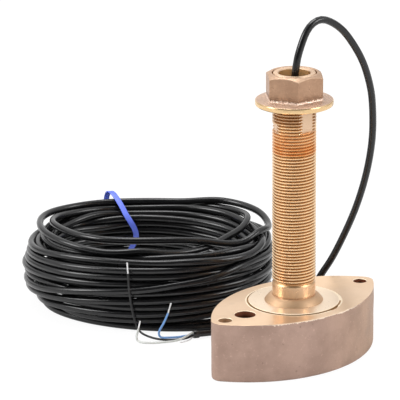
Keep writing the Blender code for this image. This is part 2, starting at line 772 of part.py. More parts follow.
def tie_band(bm):
    """A flat strap: at each place of its loop, four corners across the strap's section."""
    loop = tie_loop()
    centres = [coil_point(*place) for place in loop]
    sections = []
    for i, centre in enumerate(centres):
        along = (centres[(i + 1) % len(centres)] - centres[i - 1]).normalized()
        turn = loop[i][0]
        across = (coil_point(turn + 0.01, 0, 0) - coil_point(turn - 0.01, 0, 0)).normalized()
        across = (across - along * across.dot(along)).normalized()
        outwards = along.cross(across)
        corners = []
        for side, face in ((-1, -1), (1, -1), (1, 1), (-1, 1)):
            shift = across * side * TIE_WIDTH / 2 + outwards * face * TIE_THICKNESS / 2
            corners.append(bm.verts.new(centre + shift))
        sections.append(corners)
    for i, section in enumerate(sections):
        following = sections[(i + 1) % len(sections)]
        for k in range(4):
            m = (k + 1) % 4
            bm.faces.new((section[k], section[m], following[m], following[k]))


def make_coil(jacket):
    def ring(bm):
        sections = []
        for step in range(COIL_SEGMENTS):
            angle = 2 * math.pi * step / COIL_SEGMENTS
            corners = [
                coil_point(angle, x * COIL_WALL / 2, y * COIL_HEIGHT) for x, y in COIL_SECTION
            ]
            sections.append([bm.verts.new(corner) for corner in corners])
        for i, section in enumerate(sections):
            following = sections[(i + 1) % COIL_SEGMENTS]
            for k in range(len(section)):
                m = (k + 1) % len(section)
                bm.faces.new((section[k], section[m], following[m], following[k]))

    coil = add_mesh("cable_coil", ring, jacket.copy(), 50.0)
    coil.matrix_world = coil_place()
    turn = (TIE_OUTER_ANGLE + TIE_INNER_ANGLE) / 2
    span = (coil_point(TIE_OUTER_ANGLE, 0, 0) - coil_point(TIE_INNER_ANGLE, 0, 0)).length
    half = span / 2 + TIE_WIDTH
    outwards = coil_point(turn, 1, 0) - coil_point(turn, 0, 0)
    facing = Matrix.Rotation(math.atan2(outwards.y, outwards.x), 4, "Z")
    place = coil_place() @ Matrix.Translation(coil_point(turn, 0, 0)) @ facing
    low = (-COIL_WALL, -half, -OVERRUN)
    high = (COIL_WALL, half, TIE_THICKNESS + 4 * GAP)
    notch = block(low, high, place)
    combine(coil, cutter("tie_notch_cut", notch))
    plastic = finish("tie_plastic", (0.15, 0.22, 0.80), 0.35)
    tie = add_mesh("cable_tie", tie_band, plastic)
    tie.matrix_world = coil_place()


def main():
    clear_scene()
    jacket = finish("cable_jacket", (0.02, 0.02, 0.021), 0.45)
    make_housing()
    make_hull_nut()
    make_element()
    make_stem_filling(jacket)
    make_cable(jacket)
    make_coil(jacket)


main()
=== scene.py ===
# %% [markdown]
# # A bronze sonar transducer and its coiled cable
#
# A thru-hull transducer is one bronze casting: a body shaped like a small boat, and a hollow
# threaded stem that passes through a hole in the hull. A nut with a wide flange clamps it from
# inside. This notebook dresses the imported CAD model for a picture: it loads the fixed frame,
# sets the camera and the light, lays the cable, and then makes the castings and their finishes.

import math
import random

import bmesh
import bpy
import numpy as np
from mathutils import Matrix, Vector, noise


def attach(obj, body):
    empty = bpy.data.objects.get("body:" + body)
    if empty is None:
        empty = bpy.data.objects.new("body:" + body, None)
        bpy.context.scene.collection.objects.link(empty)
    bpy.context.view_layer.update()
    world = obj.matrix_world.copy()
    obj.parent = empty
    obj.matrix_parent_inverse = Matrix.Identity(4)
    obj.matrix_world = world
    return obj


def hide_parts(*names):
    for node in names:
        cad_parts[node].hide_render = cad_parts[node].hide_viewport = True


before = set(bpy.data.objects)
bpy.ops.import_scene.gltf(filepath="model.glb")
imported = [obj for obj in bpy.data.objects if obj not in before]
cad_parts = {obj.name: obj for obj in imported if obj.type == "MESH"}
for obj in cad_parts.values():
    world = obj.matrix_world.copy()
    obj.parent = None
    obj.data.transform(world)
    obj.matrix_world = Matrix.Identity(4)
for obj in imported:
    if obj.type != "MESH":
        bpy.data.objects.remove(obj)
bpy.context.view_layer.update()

# %% [markdown]
# ## The camera
#
# The picture was taken from the front left with a long lens, about 17 degrees above the floor.
# A long lens far away keeps upright lines nearly parallel, which is why the stem looks the same
# width at its foot and at its top. The place and the three axes below were fitted to the stem,
# which is taken as 1 inch thick, to the nut and to the body's outline.

# %% Camera
MM = 0.001
PIXELS = 400
FOCAL_PIXELS = 2824.7
SENSOR = 36.0
CAMERA_PLACE = Vector((-1044.50, -1157.99, 580.10)) * MM
CAMERA_RIGHT = Vector((0.76400, -0.64518, -0.00715))
CAMERA_UP = Vector((0.19641, 0.22199, 0.95506))
CAMERA_BACK = Vector((-0.61460, -0.73107, 0.29632))

camera_data = bpy.data.cameras.new("camera")
camera_data.sensor_width = SENSOR
camera_data.sensor_fit = "HORIZONTAL"
camera_data.lens = SENSOR * FOCAL_PIXELS / PIXELS
camera_data.clip_start, camera_data.clip_end = 0.05, 20.0
camera = bpy.data.objects.new("camera", camera_data)
bpy.context.scene.collection.objects.link(camera)
axes = Matrix((CAMERA_RIGHT, CAMERA_UP, CAMERA_BACK)).transposed()
camera.matrix_world = Matrix.Translation(CAMERA_PLACE) @ axes.to_4x4()
bpy.context.scene.camera = camera
print("lens %.1f mm" % camera_data.lens)

# %% [markdown]
# ## Helpers for meshes and finishes
#
# A node material is a small graph. Writing the graph by hand takes many lines, so one class
# keeps the tree, adds nodes and links what it is given: a number or a colour is set on the
# socket, and another node's output is linked to it.


# %% Node helper
FINE_GRAIN = 0.00003  # metres of relief that only changes how light spreads


def shaded(colour, share):
    return tuple(min(value * share, 1.0) for value in colour)


class Finish:
    """One material and its graph. Plain values go on the shader's own sockets."""

    def __init__(self, name, **sockets):
        self.material = bpy.data.materials.new(name)
        self.material.use_nodes = True
        self.tree = self.material.node_tree
        self.shader = self.tree.nodes["Principled BSDF"]
        self.output = self.tree.nodes["Material Output"]
        self.set(self.shader, **sockets)

    def set(self, node, **sockets):
        for name, value in sockets.items():
            self.plug(node.inputs[name.replace("_", " ")], value)

    def done(self, **sockets):
        """Sets the shader's last sockets and hands over the material."""
        self.set(self.shader, **sockets)
        return self.material

    def plug(self, socket, value):
        if isinstance(value, bpy.types.NodeSocket):
            self.tree.links.new(value, socket)
        elif isinstance(value, tuple) and socket.type == "RGBA":
            socket.default_value = (*value, 1.0)[:4]
        else:
            socket.default_value = value

    def add(self, kind, out=0, settings=(), **sockets):
        node = self.tree.nodes.new("ShaderNode" + kind)
        for name, value in dict(settings).items():
            setattr(node, name, value)
        self.set(node, **sockets)
        return node.outputs[out]

    def place(self):
        """The point on the piece, in metres. Every piece stands at the origin."""
        return self.add("TexCoord", 3)

    def part(self, place, axis):
        return self.add("SeparateXYZ", axis, Vector=place)

    def noise(self, place, scale, detail=3.0, roughness=0.5, distortion=0.0):
        sockets = {"Scale": scale, "Detail": detail, "Roughness": roughness, "Distortion": distortion}
        return self.add("TexNoise", Vector=place, **sockets)

    def math(self, operation, *values, clamp=False):
        node = self.tree.nodes.new("ShaderNodeMath")
        node.operation = operation
        node.use_clamp = clamp
        for socket, value in zip(node.inputs, values):
            self.plug(socket, value)
        return node.outputs[0]

    def times(self, first, second):
        return self.math("MULTIPLY", first, second)

    def span(self, value, low, high, to_low=0.0, to_high=1.0):
        """Maps low..high to to_low..to_high, and stops at the ends."""
        ends = {"From_Min": low, "From_Max": high, "To_Min": to_low, "To_Max": to_high}
        return self.add("MapRange", Value=value, **ends)

    def span_mm(self, value, low, high, to_low=0.0, to_high=1.0):
        """The same for a value in metres, with low and high in millimetres."""
        return self.span(value, low * MM, high * MM, to_low, to_high)

    def level(self, vector):
        """The vector without its height."""
        flat = self.add("VectorMath", 0, {"operation": "MULTIPLY"}, Vector=vector)
        flat.node.inputs[1].default_value = (1.0, 1.0, 0.0)
        return flat

    def from_axis(self, place):
        """Distance from the stem's axis, in metres."""
        return self.add("VectorMath", 1, {"operation": "LENGTH"}, Vector=self.level(place))

    def facing(self, direction, towards):
        """1 where the direction points the same way as the other, and -1 the other way."""
        product = self.add("VectorMath", 1, {"operation": "DOT_PRODUCT"}, Vector=direction)
        product.node.inputs[1].default_value = towards
        return product

    def mix(self, share, first, second, blend="MIX"):
        node = self.tree.nodes.new("ShaderNodeMix")
        node.data_type = "RGBA"
        node.blend_type = blend
        for name, value in (("Factor_Float", share), ("A_Color", first), ("B_Color", second)):
            self.plug(next(s for s in node.inputs if s.identifier == name), value)
        return next(s for s in node.outputs if s.identifier == "Result_Color")

    def bump(self, height, distance, strength):
        return self.add("Bump", Height=height, Distance=distance, Strength=strength)


# %% [markdown]
# A mesh is two lists: its corners, and faces that name the corners by number. Most pieces here
# are skins over a row of sections, so one function links each section to the next.


# %% Mesh helpers
def add_object(name, data, *materials):
    piece = bpy.data.objects.new(name, data)
    bpy.context.scene.collection.objects.link(piece)
    for material in materials:
        data.materials.append(material)
    return piece


def ring_strip(sections, close_along=False):
    """Faces between closed sections that each hold the same number of corners."""
    count, size = len(sections), len(sections[0])
    verts = [corner for section in sections for corner in section]
    faces = []
    for i in range(count if close_along else count - 1):
        for k in range(size):
            a, b = i * size + k, i * size + (k + 1) % size
            shift = ((i + 1) % count - i) * size
            faces.append((a, b, b + shift, a + shift))
    return verts, faces


def mesh_object(name, verts, faces, *materials, sharp=35.0):
    mesh = bpy.data.meshes.new(name)
    mesh.from_pydata([tuple(v) for v in verts], [], [tuple(f) for f in faces])
    mesh.validate()
    bm = bmesh.new()
    bm.from_mesh(mesh)
    bmesh.ops.recalc_face_normals(bm, faces=bm.faces)
    bm.to_mesh(mesh)
    bm.free()
    mesh.shade_smooth()
    mesh.set_sharp_from_angle(angle=math.radians(sharp))
    return add_object(name, mesh, *materials)


# %% [markdown]
# ## The floor and the light
#
# The object was photographed on white and cut out. The floor is plain and pale, and the world
# is a soft room. White comes from the Is Camera Ray switch and not from more light: rays that
# go from the camera to the backdrop find white there, and shiny metal finds pale cards and dark
# flags, while the light that falls on the object stays at a plain level. The floor keeps a soft
# shadow.


# %% Cards and flags
# Pale cards and dark flags stand in sectors round the object: (middle, half of the width)
CARD_SECTORS = (
    (math.radians(-69), math.radians(34)),
    (math.radians(144), math.radians(18)),
    (math.radians(48), math.radians(28)),
)
FLAG_SECTORS = ((math.radians(-11), math.radians(20)), (math.radians(106), math.radians(17)))
CARD_TOP = (0.15, 0.55)  # they fade out between these heights of a direction
CARD_WHITE, FLAG_GREY = 0.9, 0.35
CAMERA_SIDE = (-0.60, -0.73, 0.33)
CAMERA_SIDE_GREY = 0.10  # nothing pale stands behind the camera


def sector_share(finish, direction, sectors, soft=math.radians(4)):
    """1 towards one of the sectors, 0 elsewhere, for a direction from the object."""
    level = finish.add("VectorMath", 0, {"operation": "NORMALIZE"}, Vector=finish.level(direction))
    shares = []
    for middle, half in sectors:
        facing = finish.facing(level, (math.cos(middle), math.sin(middle), 0.0))
        shares.append(finish.span(facing, math.cos(half + soft), math.cos(half - soft)))
    share = shares[0]
    for other in shares[1:]:
        share = finish.math("MAXIMUM", share, other)
    return share


def seen_directly(finish):
    """1 for rays that the camera sends, straight or through something clear; and all the paths."""
    paths = finish.tree.nodes.new("ShaderNodeLightPath").outputs
    return finish.math("MAXIMUM", paths["Is Camera Ray"], paths["Is Transmission Ray"]), paths


# %% [markdown]
# The floor is a large square just under the object. It is matt paper for the light that falls on
# it, and it glows only for the camera's own rays and, where a card stands, for metal.


# %% Floor
def make_floor(size=8.0, white=0.86, glow_strength=1.07, grey_in_metal=0.22, white_in_metal=0.95):
    paper = Finish("floor_paper", Base_Color=(0.86, 0.86, 0.86), Roughness=0.9)
    seen, paths = seen_directly(paper)
    cards = sector_share(paper, paper.place(), CARD_SECTORS)
    in_metal = paper.span(cards, 0.0, 1.0, grey_in_metal, white_in_metal)
    glossy = paper.times(paths["Is Glossy Ray"], in_metal)
    share = paper.math("ADD", paper.times(seen, white), glossy, clamp=True)
    glow = paper.add("Emission", Color=(1.0, 1.0, 1.0), Strength=glow_strength)
    mixed = paper.add("MixShader")
    for socket, value in zip(mixed.node.inputs, (share, paper.shader.outputs[0], glow)):
        paper.plug(socket, value)
    paper.plug(paper.output.inputs["Surface"], mixed)
    half = size / 2
    corners = [(-half, -half, 0), (half, -half, 0), (half, half, 0), (-half, half, 0)]
    floor = mesh_object("floor", corners, [(0, 1, 2, 3)], paper.material)
    floor.location.z = -0.1 * MM


make_floor()
print("floor laid")


# %% [markdown]
# The world needs three answers: white for the camera, one plain level for the light on matt
# surfaces, and for metal a dim room with pale cards and dark flags. Metal shows little of its
# own colour and much of the room, so the panels on the nut and the thread come from here.


# %% World
class Room(Finish):
    """The world's graph, built with the same tools as a material's."""

    def __init__(self, name):
        self.world = bpy.data.worlds.new(name)
        self.world.use_nodes = True
        self.tree = self.world.node_tree
        bpy.context.scene.world = self.world


def make_world(on_object=0.62):
    room = Room("room")
    seen, paths = seen_directly(room)
    direction = room.add("TexCoord", 0)
    shade = room.span(room.facing(direction, CAMERA_SIDE), 0.1, 0.72, 1.0, CAMERA_SIDE_GREY)
    low = room.span(room.part(direction, 2), *CARD_TOP, 1.0, 0.0)
    cards = room.times(sector_share(room, direction, CARD_SECTORS), low)
    flags = room.times(sector_share(room, direction, FLAG_SECTORS), low)
    shade = room.times(shade, room.span(flags, 0.0, 1.0, 1.0, FLAG_GREY))
    in_metal = room.math("MAXIMUM", shade, room.times(cards, CARD_WHITE))
    light = room.add("Mix", 0, {"data_type": "FLOAT"}, Factor=paths["Is Glossy Ray"], A=on_object)
    room.plug(light.node.inputs["B"], in_metal)
    final = room.add("Mix", 0, {"data_type": "FLOAT"}, Factor=seen, A=light, B=1.0)
    surface = room.tree.nodes["Background"]
    surface.inputs["Color"].default_value = (1.0, 1.0, 1.0, 1.0)
    room.plug(surface.inputs["Strength"], final)


make_world()
print("cards:", len(CARD_SECTORS), "flags:", len(FLAG_SECTORS))


# %% [markdown]
# Three large square lamps give soft shadows from the right, the left and above. Their size
# matters as much as their power: a small lamp would draw hard edges under the coil.


# %% Lamps
def soft_lamp(name, place, size, watts, aim=(0.0, 0.04, 0.08)):
    lamp = bpy.data.lights.new(name, "AREA")
    lamp.shape = "SQUARE"
    lamp.size = size
    lamp.energy = watts
    obj = bpy.data.objects.new(name, lamp)
    bpy.context.scene.collection.objects.link(obj)
    obj.location = place
    obj.rotation_mode = "QUATERNION"
    obj.rotation_quaternion = (Vector(place) - Vector(aim)).to_track_quat("Z", "Y")


soft_lamp("right_lamp", (0.75, -1.35, 1.15), 0.8, 13.0)
soft_lamp("left_lamp", (-1.25, 0.75, 1.1), 0.7, 14.0)
soft_lamp("top_lamp", (0.05, 0.45, 1.8), 0.8, 13.0)
bpy.context.scene.view_settings.view_transform = "Standard"
print("lamps:", len(bpy.data.lights))

# %% [markdown]
# ## The cable's route
#
# The cable is close to ten metres of one round cord, so it is one curve here too: up out of the
# resin in the stem, over its arch, down to the floor, through every turn of the coil and out to
# the cut end. The two free stretches are short lists of places, the same as in the CAD. The
# coil is wound by a loop: a turn is described by where it passes the near, left, far and right
# side of the oval, as an offset from the oval's middle line and a height. The inner turns climb,
# three loose turns lie on top, and the outer turns come down again.

# %% Routes of the free stretches, in millimetres
CABLE = 4.3
ARCH_ROUTE = [
    (0.0, 0.0, 164.7), (0.2, -0.2, 170.0), (0.8, -0.6, 176.0), (1.8, -0.9, 181.3),
    (3.7, -1.0, 186.4), (7.0, -0.8, 192.6), (11.6, -0.8, 198.0), (18.5, -1.2, 200.4),
    (27.1, -1.9, 197.5), (35.8, -2.7, 190.8), (44.6, -3.3, 179.7), (52.0, -3.0, 167.7),
    (59.0, -1.3, 151.6), (63.5, 1.6, 135.7), (66.7, 5.2, 119.6), (68.2, 9.5, 103.6),
    (68.3, 14.4, 87.5), (67.0, 19.9, 71.4), (64.2, 25.9, 55.5), (59.9, 32.0, 39.7),
    (55.9, 36.0, 30.5), (50.9, 39.6, 20.4), (43.8, 43.6, 10.6), (34.9, 47.7, 4.6),
    (25.3, 52.0, 2.5), (16.0, 57.2, 2.3), (7.2, 64.6, 2.3),
]
TAIL_ROUTE = [
    (46.1, 71.2, 9.6), (40.0, 62.6, 8.9), (32.6, 56.2, 8.1), (23.8, 52.3, 7.5),
    (14.4, 50.4, 5.9), (4.1, 51.2, 3.9), (-5.0, 53.8, 2.8), (-14.7, 57.8, 2.8),
    (-24.6, 62.2, 2.8),
]

# %% The turns of the coil, in millimetres
OVAL_CENTRE = (-2.7, 131.8)
OVAL_TURN = math.radians(-51.5)
OVAL_HALF_LENGTH = 69.0
OVAL_HALF_WIDTH = 51.0

# (offset, height) where each turn passes the near, left, far and right side of the oval
INNER_TURNS = [
    ((1.0, 2.2), (-4.0, 2.2), (3.0, 2.2), (2.0, 2.2)),
    ((-5.0, 3.0), (-8.0, 3.4), (-4.0, 3.2), (-4.0, 3.6)),
    ((-8.0, 11.4), (-9.0, 12.0), (-7.0, 11.6), (-8.0, 11.0)),
    ((-7.0, 15.4), (-8.0, 16.2), (-7.6, 15.8), (-7.0, 15.0)),
    ((-8.0, 19.4), (-9.0, 20.4), (-7.0, 19.8), (-8.0, 18.8)),
    ((-7.0, 23.4), (-8.0, 24.6), (-8.0, 23.8), (-7.0, 22.6)),
    ((-8.0, 27.4), (-9.0, 28.6), (-7.0, 27.8), (-8.0, 26.4)),
    ((-6.6, 31.2), (-8.0, 32.4), (-7.8, 31.8), (-7.0, 30.4)),
    ((-8.0, 35.2), (-9.0, 36.4), (-6.6, 36.0), (-8.0, 34.4)),
    ((-3.0, 36.5), (-3.6, 37.0), (-7.4, 40.4), (-6.0, 39.0)),
    ((-9.0, 40.0), (-8.6, 40.6), (-2.0, 43.2), (-1.0, 42.0)),
    ((1.5, 40.2), (-0.5, 38.4), (2.4, 43.6), (1.0, 43.2)),
]
# (angle within the winding, offset, height) of the three loose turns on top
TOP_TURNS = [
    (-105, -7.5, 43.0), (-130, -4.5, 42.0), (-150, -5.0, 41.6), (-177, -3.8, 41.8),
    (-205, -1.0, 43.0), (-235, 1.6, 45.0), (-262, 5.0, 46.2), (-281, 8.0, 47.2),
    (-295, 8.6, 47.8), (-310, 6.0, 48.2), (-324, 1.0, 48.4), (-336, -5.0, 48.2),
    (-347, -11.0, 47.6), (-360, -17.0, 46.6), (-375, -20.0, 45.4), (-395, -18.6, 44.4),
    (-425, -13.0, 44.0), (-455, -5.0, 45.4), (-478, -1.2, 47.6), (-500, -1.6, 49.0),
    (-525, -2.2, 49.4), (-545, -0.6, 49.6), (-562, 1.0, 49.2), (-580, 1.6, 48.4),
    (-600, 1.6, 47.6), (-622, 2.0, 47.6), (-645, 5.4, 49.4),
    (-660, 9.6, 50.8), (-675, 10.6, 51.0), (-690, 9.4, 50.0), (-703, 7.0, 47.8),
    (-717, 3.4, 45.4), (-731, -3.6, 44.6), (-747, -13.0, 46.0), (-765, -18.0, 48.4),
    (-783, -19.4, 50.0), (-800, -18.0, 50.6), (-820, -15.0, 50.6), (-840, -13.4, 50.0),
    (-861, -14.4, 49.6), (-880, -13.0, 49.2), (-898, -9.0, 49.0), (-914, -6.0, 48.0),
    (-932, -4.0, 46.4), (-955, -1.0, 44.8), (-990, 1.0, 44.4), (-1030, 1.0, 45.4),
    (-1070, -0.6, 45.0),
]
# (offset, height) where each turn passes the right, near, left and far side
OUTER_TURNS = [
    ((4.6, 44.6), (4.0, 43.4), (3.4, 38.0), (5.6, 41.0)),
    ((6.2, 42.4), (7.2, 38.6), (4.6, 34.6), (6.4, 37.0)),
    ((7.0, 34.0), (7.0, 36.4), (5.4, 30.0), (7.0, 33.0)),
    ((6.0, 31.0), (6.4, 30.4), (6.2, 26.0), (6.6, 31.0)),
    ((7.6, 39.4), (9.4, 28.6), (6.0, 16.4), (6.4, 20.0)),
    ((6.8, 28.4), (6.6, 23.4), (6.4, 21.4), (6.6, 24.0)),
    ((7.2, 25.0), (8.2, 19.6), (5.4, 12.3), (6.6, 15.6)),
    ((6.0, 20.0), (6.6, 15.4), (-0.2, 10.6), (6.2, 11.4)),
    ((4.8, 14.4), (6.4, 12.6), (-2.0, 6.3), (5.6, 7.2)),
    ((4.4, 10.4), (4.6, 7.0), (-3.4, 10.0), (5.0, 8.6)),
]
TURN_ANGLES_IN = (-95, -180, -270, -355)
TURN_ANGLES_OUT = (-5, -95, -180, -270)
TOP_TURN_COUNT = 3
COIL_START = (-38, 8.0, 2.2)
COIL_END = (8.8, 9.6)
print("turns:", len(INNER_TURNS), "inner,", TOP_TURN_COUNT, "on top,", len(OUTER_TURNS), "outer")


# %% [markdown]
# Hands don't repeat a turn exactly, so every place is moved a little along, across and up. The
# numbers come from a seeded generator, which gives the same coil each time.


# %% Places of the winding
def winding_places(seed=7, loose=1.1, uneven=0.6, early=12.0):
    """Every place that the winding passes, as (angle, offset, height), with a hand's unevenness."""
    rng = random.Random(seed)
    places = [COIL_START]

    def pass_by(angle, offset, height):
        angle += rng.uniform(-early, early)
        offset += rng.uniform(-loose, loose)
        places.append((angle, offset, height + rng.uniform(-uneven, uneven)))

    for k, turn in enumerate(INNER_TURNS):
        for angle, (offset, height) in zip(TURN_ANGLES_IN, turn):
            pass_by(angle - 360 * k, offset, height)
    base = -360 * len(INNER_TURNS)
    places += [(base + angle, offset, height) for angle, offset, height in TOP_TURNS]
    base -= 360 * TOP_TURN_COUNT
    for k, turn in enumerate(OUTER_TURNS):
        for angle, (offset, height) in zip(TURN_ANGLES_OUT, turn):
            pass_by(base + angle - 360 * k, offset, height)
    places.append((base - 360 * len(OUTER_TURNS), *COIL_END))
    return np.array(places)


def oval_point(angle, offset, height):
    """A place beside the oval's middle line, on the floor's plan."""
    x, y = OVAL_HALF_LENGTH * math.cos(angle), OVAL_HALF_WIDTH * math.sin(angle)
    out = Vector((OVAL_HALF_WIDTH * math.cos(angle), OVAL_HALF_LENGTH * math.sin(angle)))
    x, y = Vector((x, y)) + out.normalized() * offset
    c, s = math.cos(OVAL_TURN), math.sin(OVAL_TURN)
    return (OVAL_CENTRE[0] + x * c - y * s, OVAL_CENTRE[1] + x * s + y * c, height)


# %% [markdown]
# Straight steps between the places would look like a polygon. Each stretch is a cubic curve that
# sets off in the direction in which the stretch before it arrived, and the result is divided
# evenly.


# %% Smooth curves
def wind(places, degrees_per_step=3.0):
    """The winding as points: a smooth curve through the places, in the angle's own order."""
    run = -places[:, 0]
    gaps = np.diff(run)
    rates = np.diff(places[:, 1:], axis=0) / gaps[:, None]
    slopes = np.vstack([rates[:1], rates, rates[-1:]])
    ahead = np.append(gaps, gaps[-1])[:, None]
    behind = np.append(gaps[0], gaps)[:, None]
    slopes = (slopes[:-1] * ahead + slopes[1:] * behind) / (ahead + behind)
    points = []
    for i, gap in enumerate(gaps):
        count = max(2, int(gap / degrees_per_step))
        for t in np.arange(count) / count:
            value = (
                (2 * t**3 - 3 * t**2 + 1) * places[i, 1:]
                + (t**3 - 2 * t**2 + t) * gap * slopes[i]
                + (3 * t**2 - 2 * t**3) * places[i + 1, 1:]
                + (t**3 - t**2) * gap * slopes[i + 1]
            )
            angle = math.radians(-(run[i] + gap * t))
            points.append(oval_point(angle, value[0], max(value[1], CABLE / 2)))
    points.append(oval_point(math.radians(-run[-1]), *places[-1, 1:]))
    return np.array(points)


def smooth_route(route, fine=12):
    """A smooth curve through the route's own points."""
    knots = [np.array(p, float) for p in route]
    knots = [2 * knots[0] - knots[1]] + knots + [2 * knots[-1] - knots[-2]]
    points = []
    for a, b, c, d in zip(knots, knots[1:], knots[2:], knots[3:]):
        for t in np.arange(fine) / fine:
            bend = (2 * a - 5 * b + 4 * c - d) * t**2 + (3 * b - a - 3 * c + d) * t**3
            points.append(0.5 * (2 * b + (c - a) * t + bend))
    points.append(knots[-2])
    return np.array(points)


def evenly(points, step):
    run = np.concatenate([[0.0], np.cumsum(np.linalg.norm(np.diff(points, axis=0), axis=1))])
    where = np.linspace(0.0, run[-1], max(2, round(run[-1] / step)) + 1)
    return np.stack([np.interp(where, run, points[:, k]) for k in range(3)], axis=1)


def length_of(points):
    return float(np.linalg.norm(np.diff(points, axis=0), axis=1).sum())


print("places in the winding:", len(winding_places()))

# %% [markdown]
# ## Settling the turns
#
# The wound curve still passes through itself here and there. A short relaxation settles it, as
# hands press a coil together: wherever two stretches are nearer than a cable's thickness they
# push each other apart, a stiff cable smooths its own kinks, and nothing sinks into the floor.
# It is worked out with arrays, so it takes seconds, and it gives the same coil every time.

# %% Settle the cable
STEP = 4.0
CURVE_STEP = 3.2  # the finished curve is divided a little finer
FREE_AT_ARCH, FREE_AT_TAIL = 6, 4  # points next to the coil that may still move


def near_pairs(points, radius, skip=4, block=600):
    """Pairs of points nearer than the radius that aren't neighbours along the cable."""
    small = points.astype(np.float32)
    square = (small * small).sum(1)
    found = []
    for start in range(0, len(small), block):
        rows = small[start : start + block]
        apart = square[start : start + block, None] + square[None, :] - 2 * rows @ small.T
        i, j = np.nonzero(apart < radius * radius)
        i = i + start
        found.append(np.stack([i, j], 1)[j > i + skip])
    return np.concatenate(found)


def directions(points):
    along = np.gradient(points, axis=0)
    return along / np.linalg.norm(along, axis=1)[:, None]


def gaps_between(points, pairs, step):
    """For each pair: the step from one strand's line to the other's, and its length."""
    i, j = pairs[:, 0], pairs[:, 1]
    along = directions(points)
    between = points[j] - points[i]
    same_way = np.sign((along[i] * along[j]).sum(1))[:, None]
    line = along[i] + along[j] * same_way
    line /= np.maximum(np.linalg.norm(line, axis=1), 1e-9)[:, None]
    run = (between * line).sum(1)
    across = between - run[:, None] * line
    beside = np.abs(run) < 0.75 * step
    return i[beside], j[beside], across[beside], np.linalg.norm(across[beside], axis=1)


def settle(points, held, rounds=200, late=40, refresh=12, room=1.02, hold=0.01, ease=0.7, stiff=0.055,
           late_stiff=0.03):
    """Pushes close strands apart, and leaves the held points where they are."""
    points, goal = points.copy(), points.copy()
    free = ~held
    step = length_of(points) / (len(points) - 1)
    total = len(points)
    for turn in range(rounds):
        if turn % refresh == 0:
            pairs = near_pairs(points, 2.2 * CABLE + step)
        i, j, across, apart = gaps_between(points, pairs, step)
        close = apart < CABLE * room
        i, j, across, apart = i[close], j[close], across[close], apart[close]
        push = across * (0.5 * (CABLE * room - apart) / np.maximum(apart, 1e-6))[:, None]
        met = np.bincount(i, minlength=total) + np.bincount(j, minlength=total)
        for k in range(3):
            move = np.bincount(j, push[:, k], total) - np.bincount(i, push[:, k], total)
            points[free, k] += ease * (move / np.sqrt(np.maximum(met, 1)))[free]
        finishing = turn > rounds - late
        kink = points[:-4] - 4 * points[1:-3] + 6 * points[2:-2] - 4 * points[3:-1] + points[4:]
        points[2:-2][free[2:-2]] -= (late_stiff if finishing else stiff) * kink[free[2:-2]]
        if not finishing:
            points[free] += hold * (goal - points)[free]
        points[free, 2] = np.maximum(points[free, 2], CABLE / 2)
    return points


arch = evenly(smooth_route(ARCH_ROUTE), STEP)
coil = evenly(wind(winding_places()), STEP)
tail = evenly(smooth_route(TAIL_ROUTE), STEP)
cable_points = np.concatenate([arch, coil, tail])
held = np.zeros(len(cable_points), bool)
held[: len(arch) - FREE_AT_ARCH] = True
held[-(len(tail) - FREE_AT_TAIL) :] = True
cable_points = settle(cable_points, held)
_, _, _, apart = gaps_between(cable_points, near_pairs(cable_points, 2 * CABLE), STEP)
print("cable %.2f m, nearest strands %.2f mm apart" % (length_of(cable_points) / 1000, apart.min()))

# %% [markdown]
# ## The cable's jacket
#
# The jacket is extruded black plastic with a dull skin. It isn't quite black: dust and the soft
# room lift it to a dark grey, and handling polishes it unevenly. Slow noise along the surface
# changes the roughness, and a fine one gives the extruded skin its grain.


# %% Jacket and cable
def make_jacket(name="cable_jacket_finish", colour=(0.0045, 0.0045, 0.005)):
    jacket = Finish(name, Specular_IOR_Level=0.5)
    place = jacket.place()
    wear = jacket.noise(place, 90.0, 2.0)
    dust = jacket.noise(place, 700.0, 3.0, 0.6)
    return jacket.done(
        Base_Color=jacket.mix(jacket.span(dust, 0.45, 0.8), colour, shaded(colour, 2.3)),
        Roughness=jacket.span(wear, 0.3, 0.7, 0.17, 0.29),
        Normal=jacket.bump(jacket.noise(place, 2600.0, 2.0), FINE_GRAIN, 0.4),
    )


def cord_object(name, points, diameter, material, resolution=3):
    """A round cord along the points, which are in millimetres."""
    curve = bpy.data.curves.new(name, "CURVE")
    curve.dimensions = "3D"
    curve.bevel_depth = diameter * MM / 2
    curve.bevel_resolution = resolution
    curve.use_fill_caps = True
    spline = curve.splines.new("POLY")
    spline.points.add(len(points) - 1)
    for point, place in zip(spline.points, points):
        point.co = (*(np.asarray(place) * MM), 1.0)
    spline.use_smooth = True
    return add_object(name, curve, material)


jacket_finish = make_jacket()
cable = cord_object("cable", evenly(cable_points, CURVE_STEP), CABLE, jacket_finish, resolution=4)
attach(cable, "transducer")
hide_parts("cable_arch", "cable_coil", "cable_tail")
print("cable points:", len(cable.data.splines[0].points))

# %% [markdown]
# ## The cut end
#
# The cable is sold with its end cut and stripped. Three insulated conductors and the bare drain
# wire of the screen come out of the jacket, and each conductor ends in a few millimetres of
# tinned strands. A conductor is a cord of its own.

# %% Routes of the wires, in millimetres
BLACK_ROUTE = [
    (-25.3, 61.6, 2.35), (-29.5, 62.6, 1.3), (-35.0, 65.6, 0.8), (-40.6, 70.0, 0.8),
    (-43.4, 76.0, 0.8), (-44.1, 82.5, 0.8), (-44.0, 87.5, 1.2), (-44.6, 90.2, 3.2),
    (-46.2, 91.0, 8.5), (-49.0, 90.4, 17.5), (-51.4, 89.5, 29.0), (-52.3, 89.4, 40.0),
]
BLACK_TIP = [(-52.3, 89.4, 40.3), (-52.4, 89.6, 43.6), (-52.3, 90.0, 47.0)]
BLUE_ROUTE = [
    (-24.65, 63.1, 2.35), (-28.5, 64.8, 1.9), (-32.5, 67.4, 1.3), (-37.0, 71.6, 0.9),
    (-39.5, 74.6, 0.9), (-40.1, 75.9, 2.6), (-39.4, 75.8, 5.2), (-37.1, 74.3, 10.2),
    (-35.1, 73.2, 15.4),
]
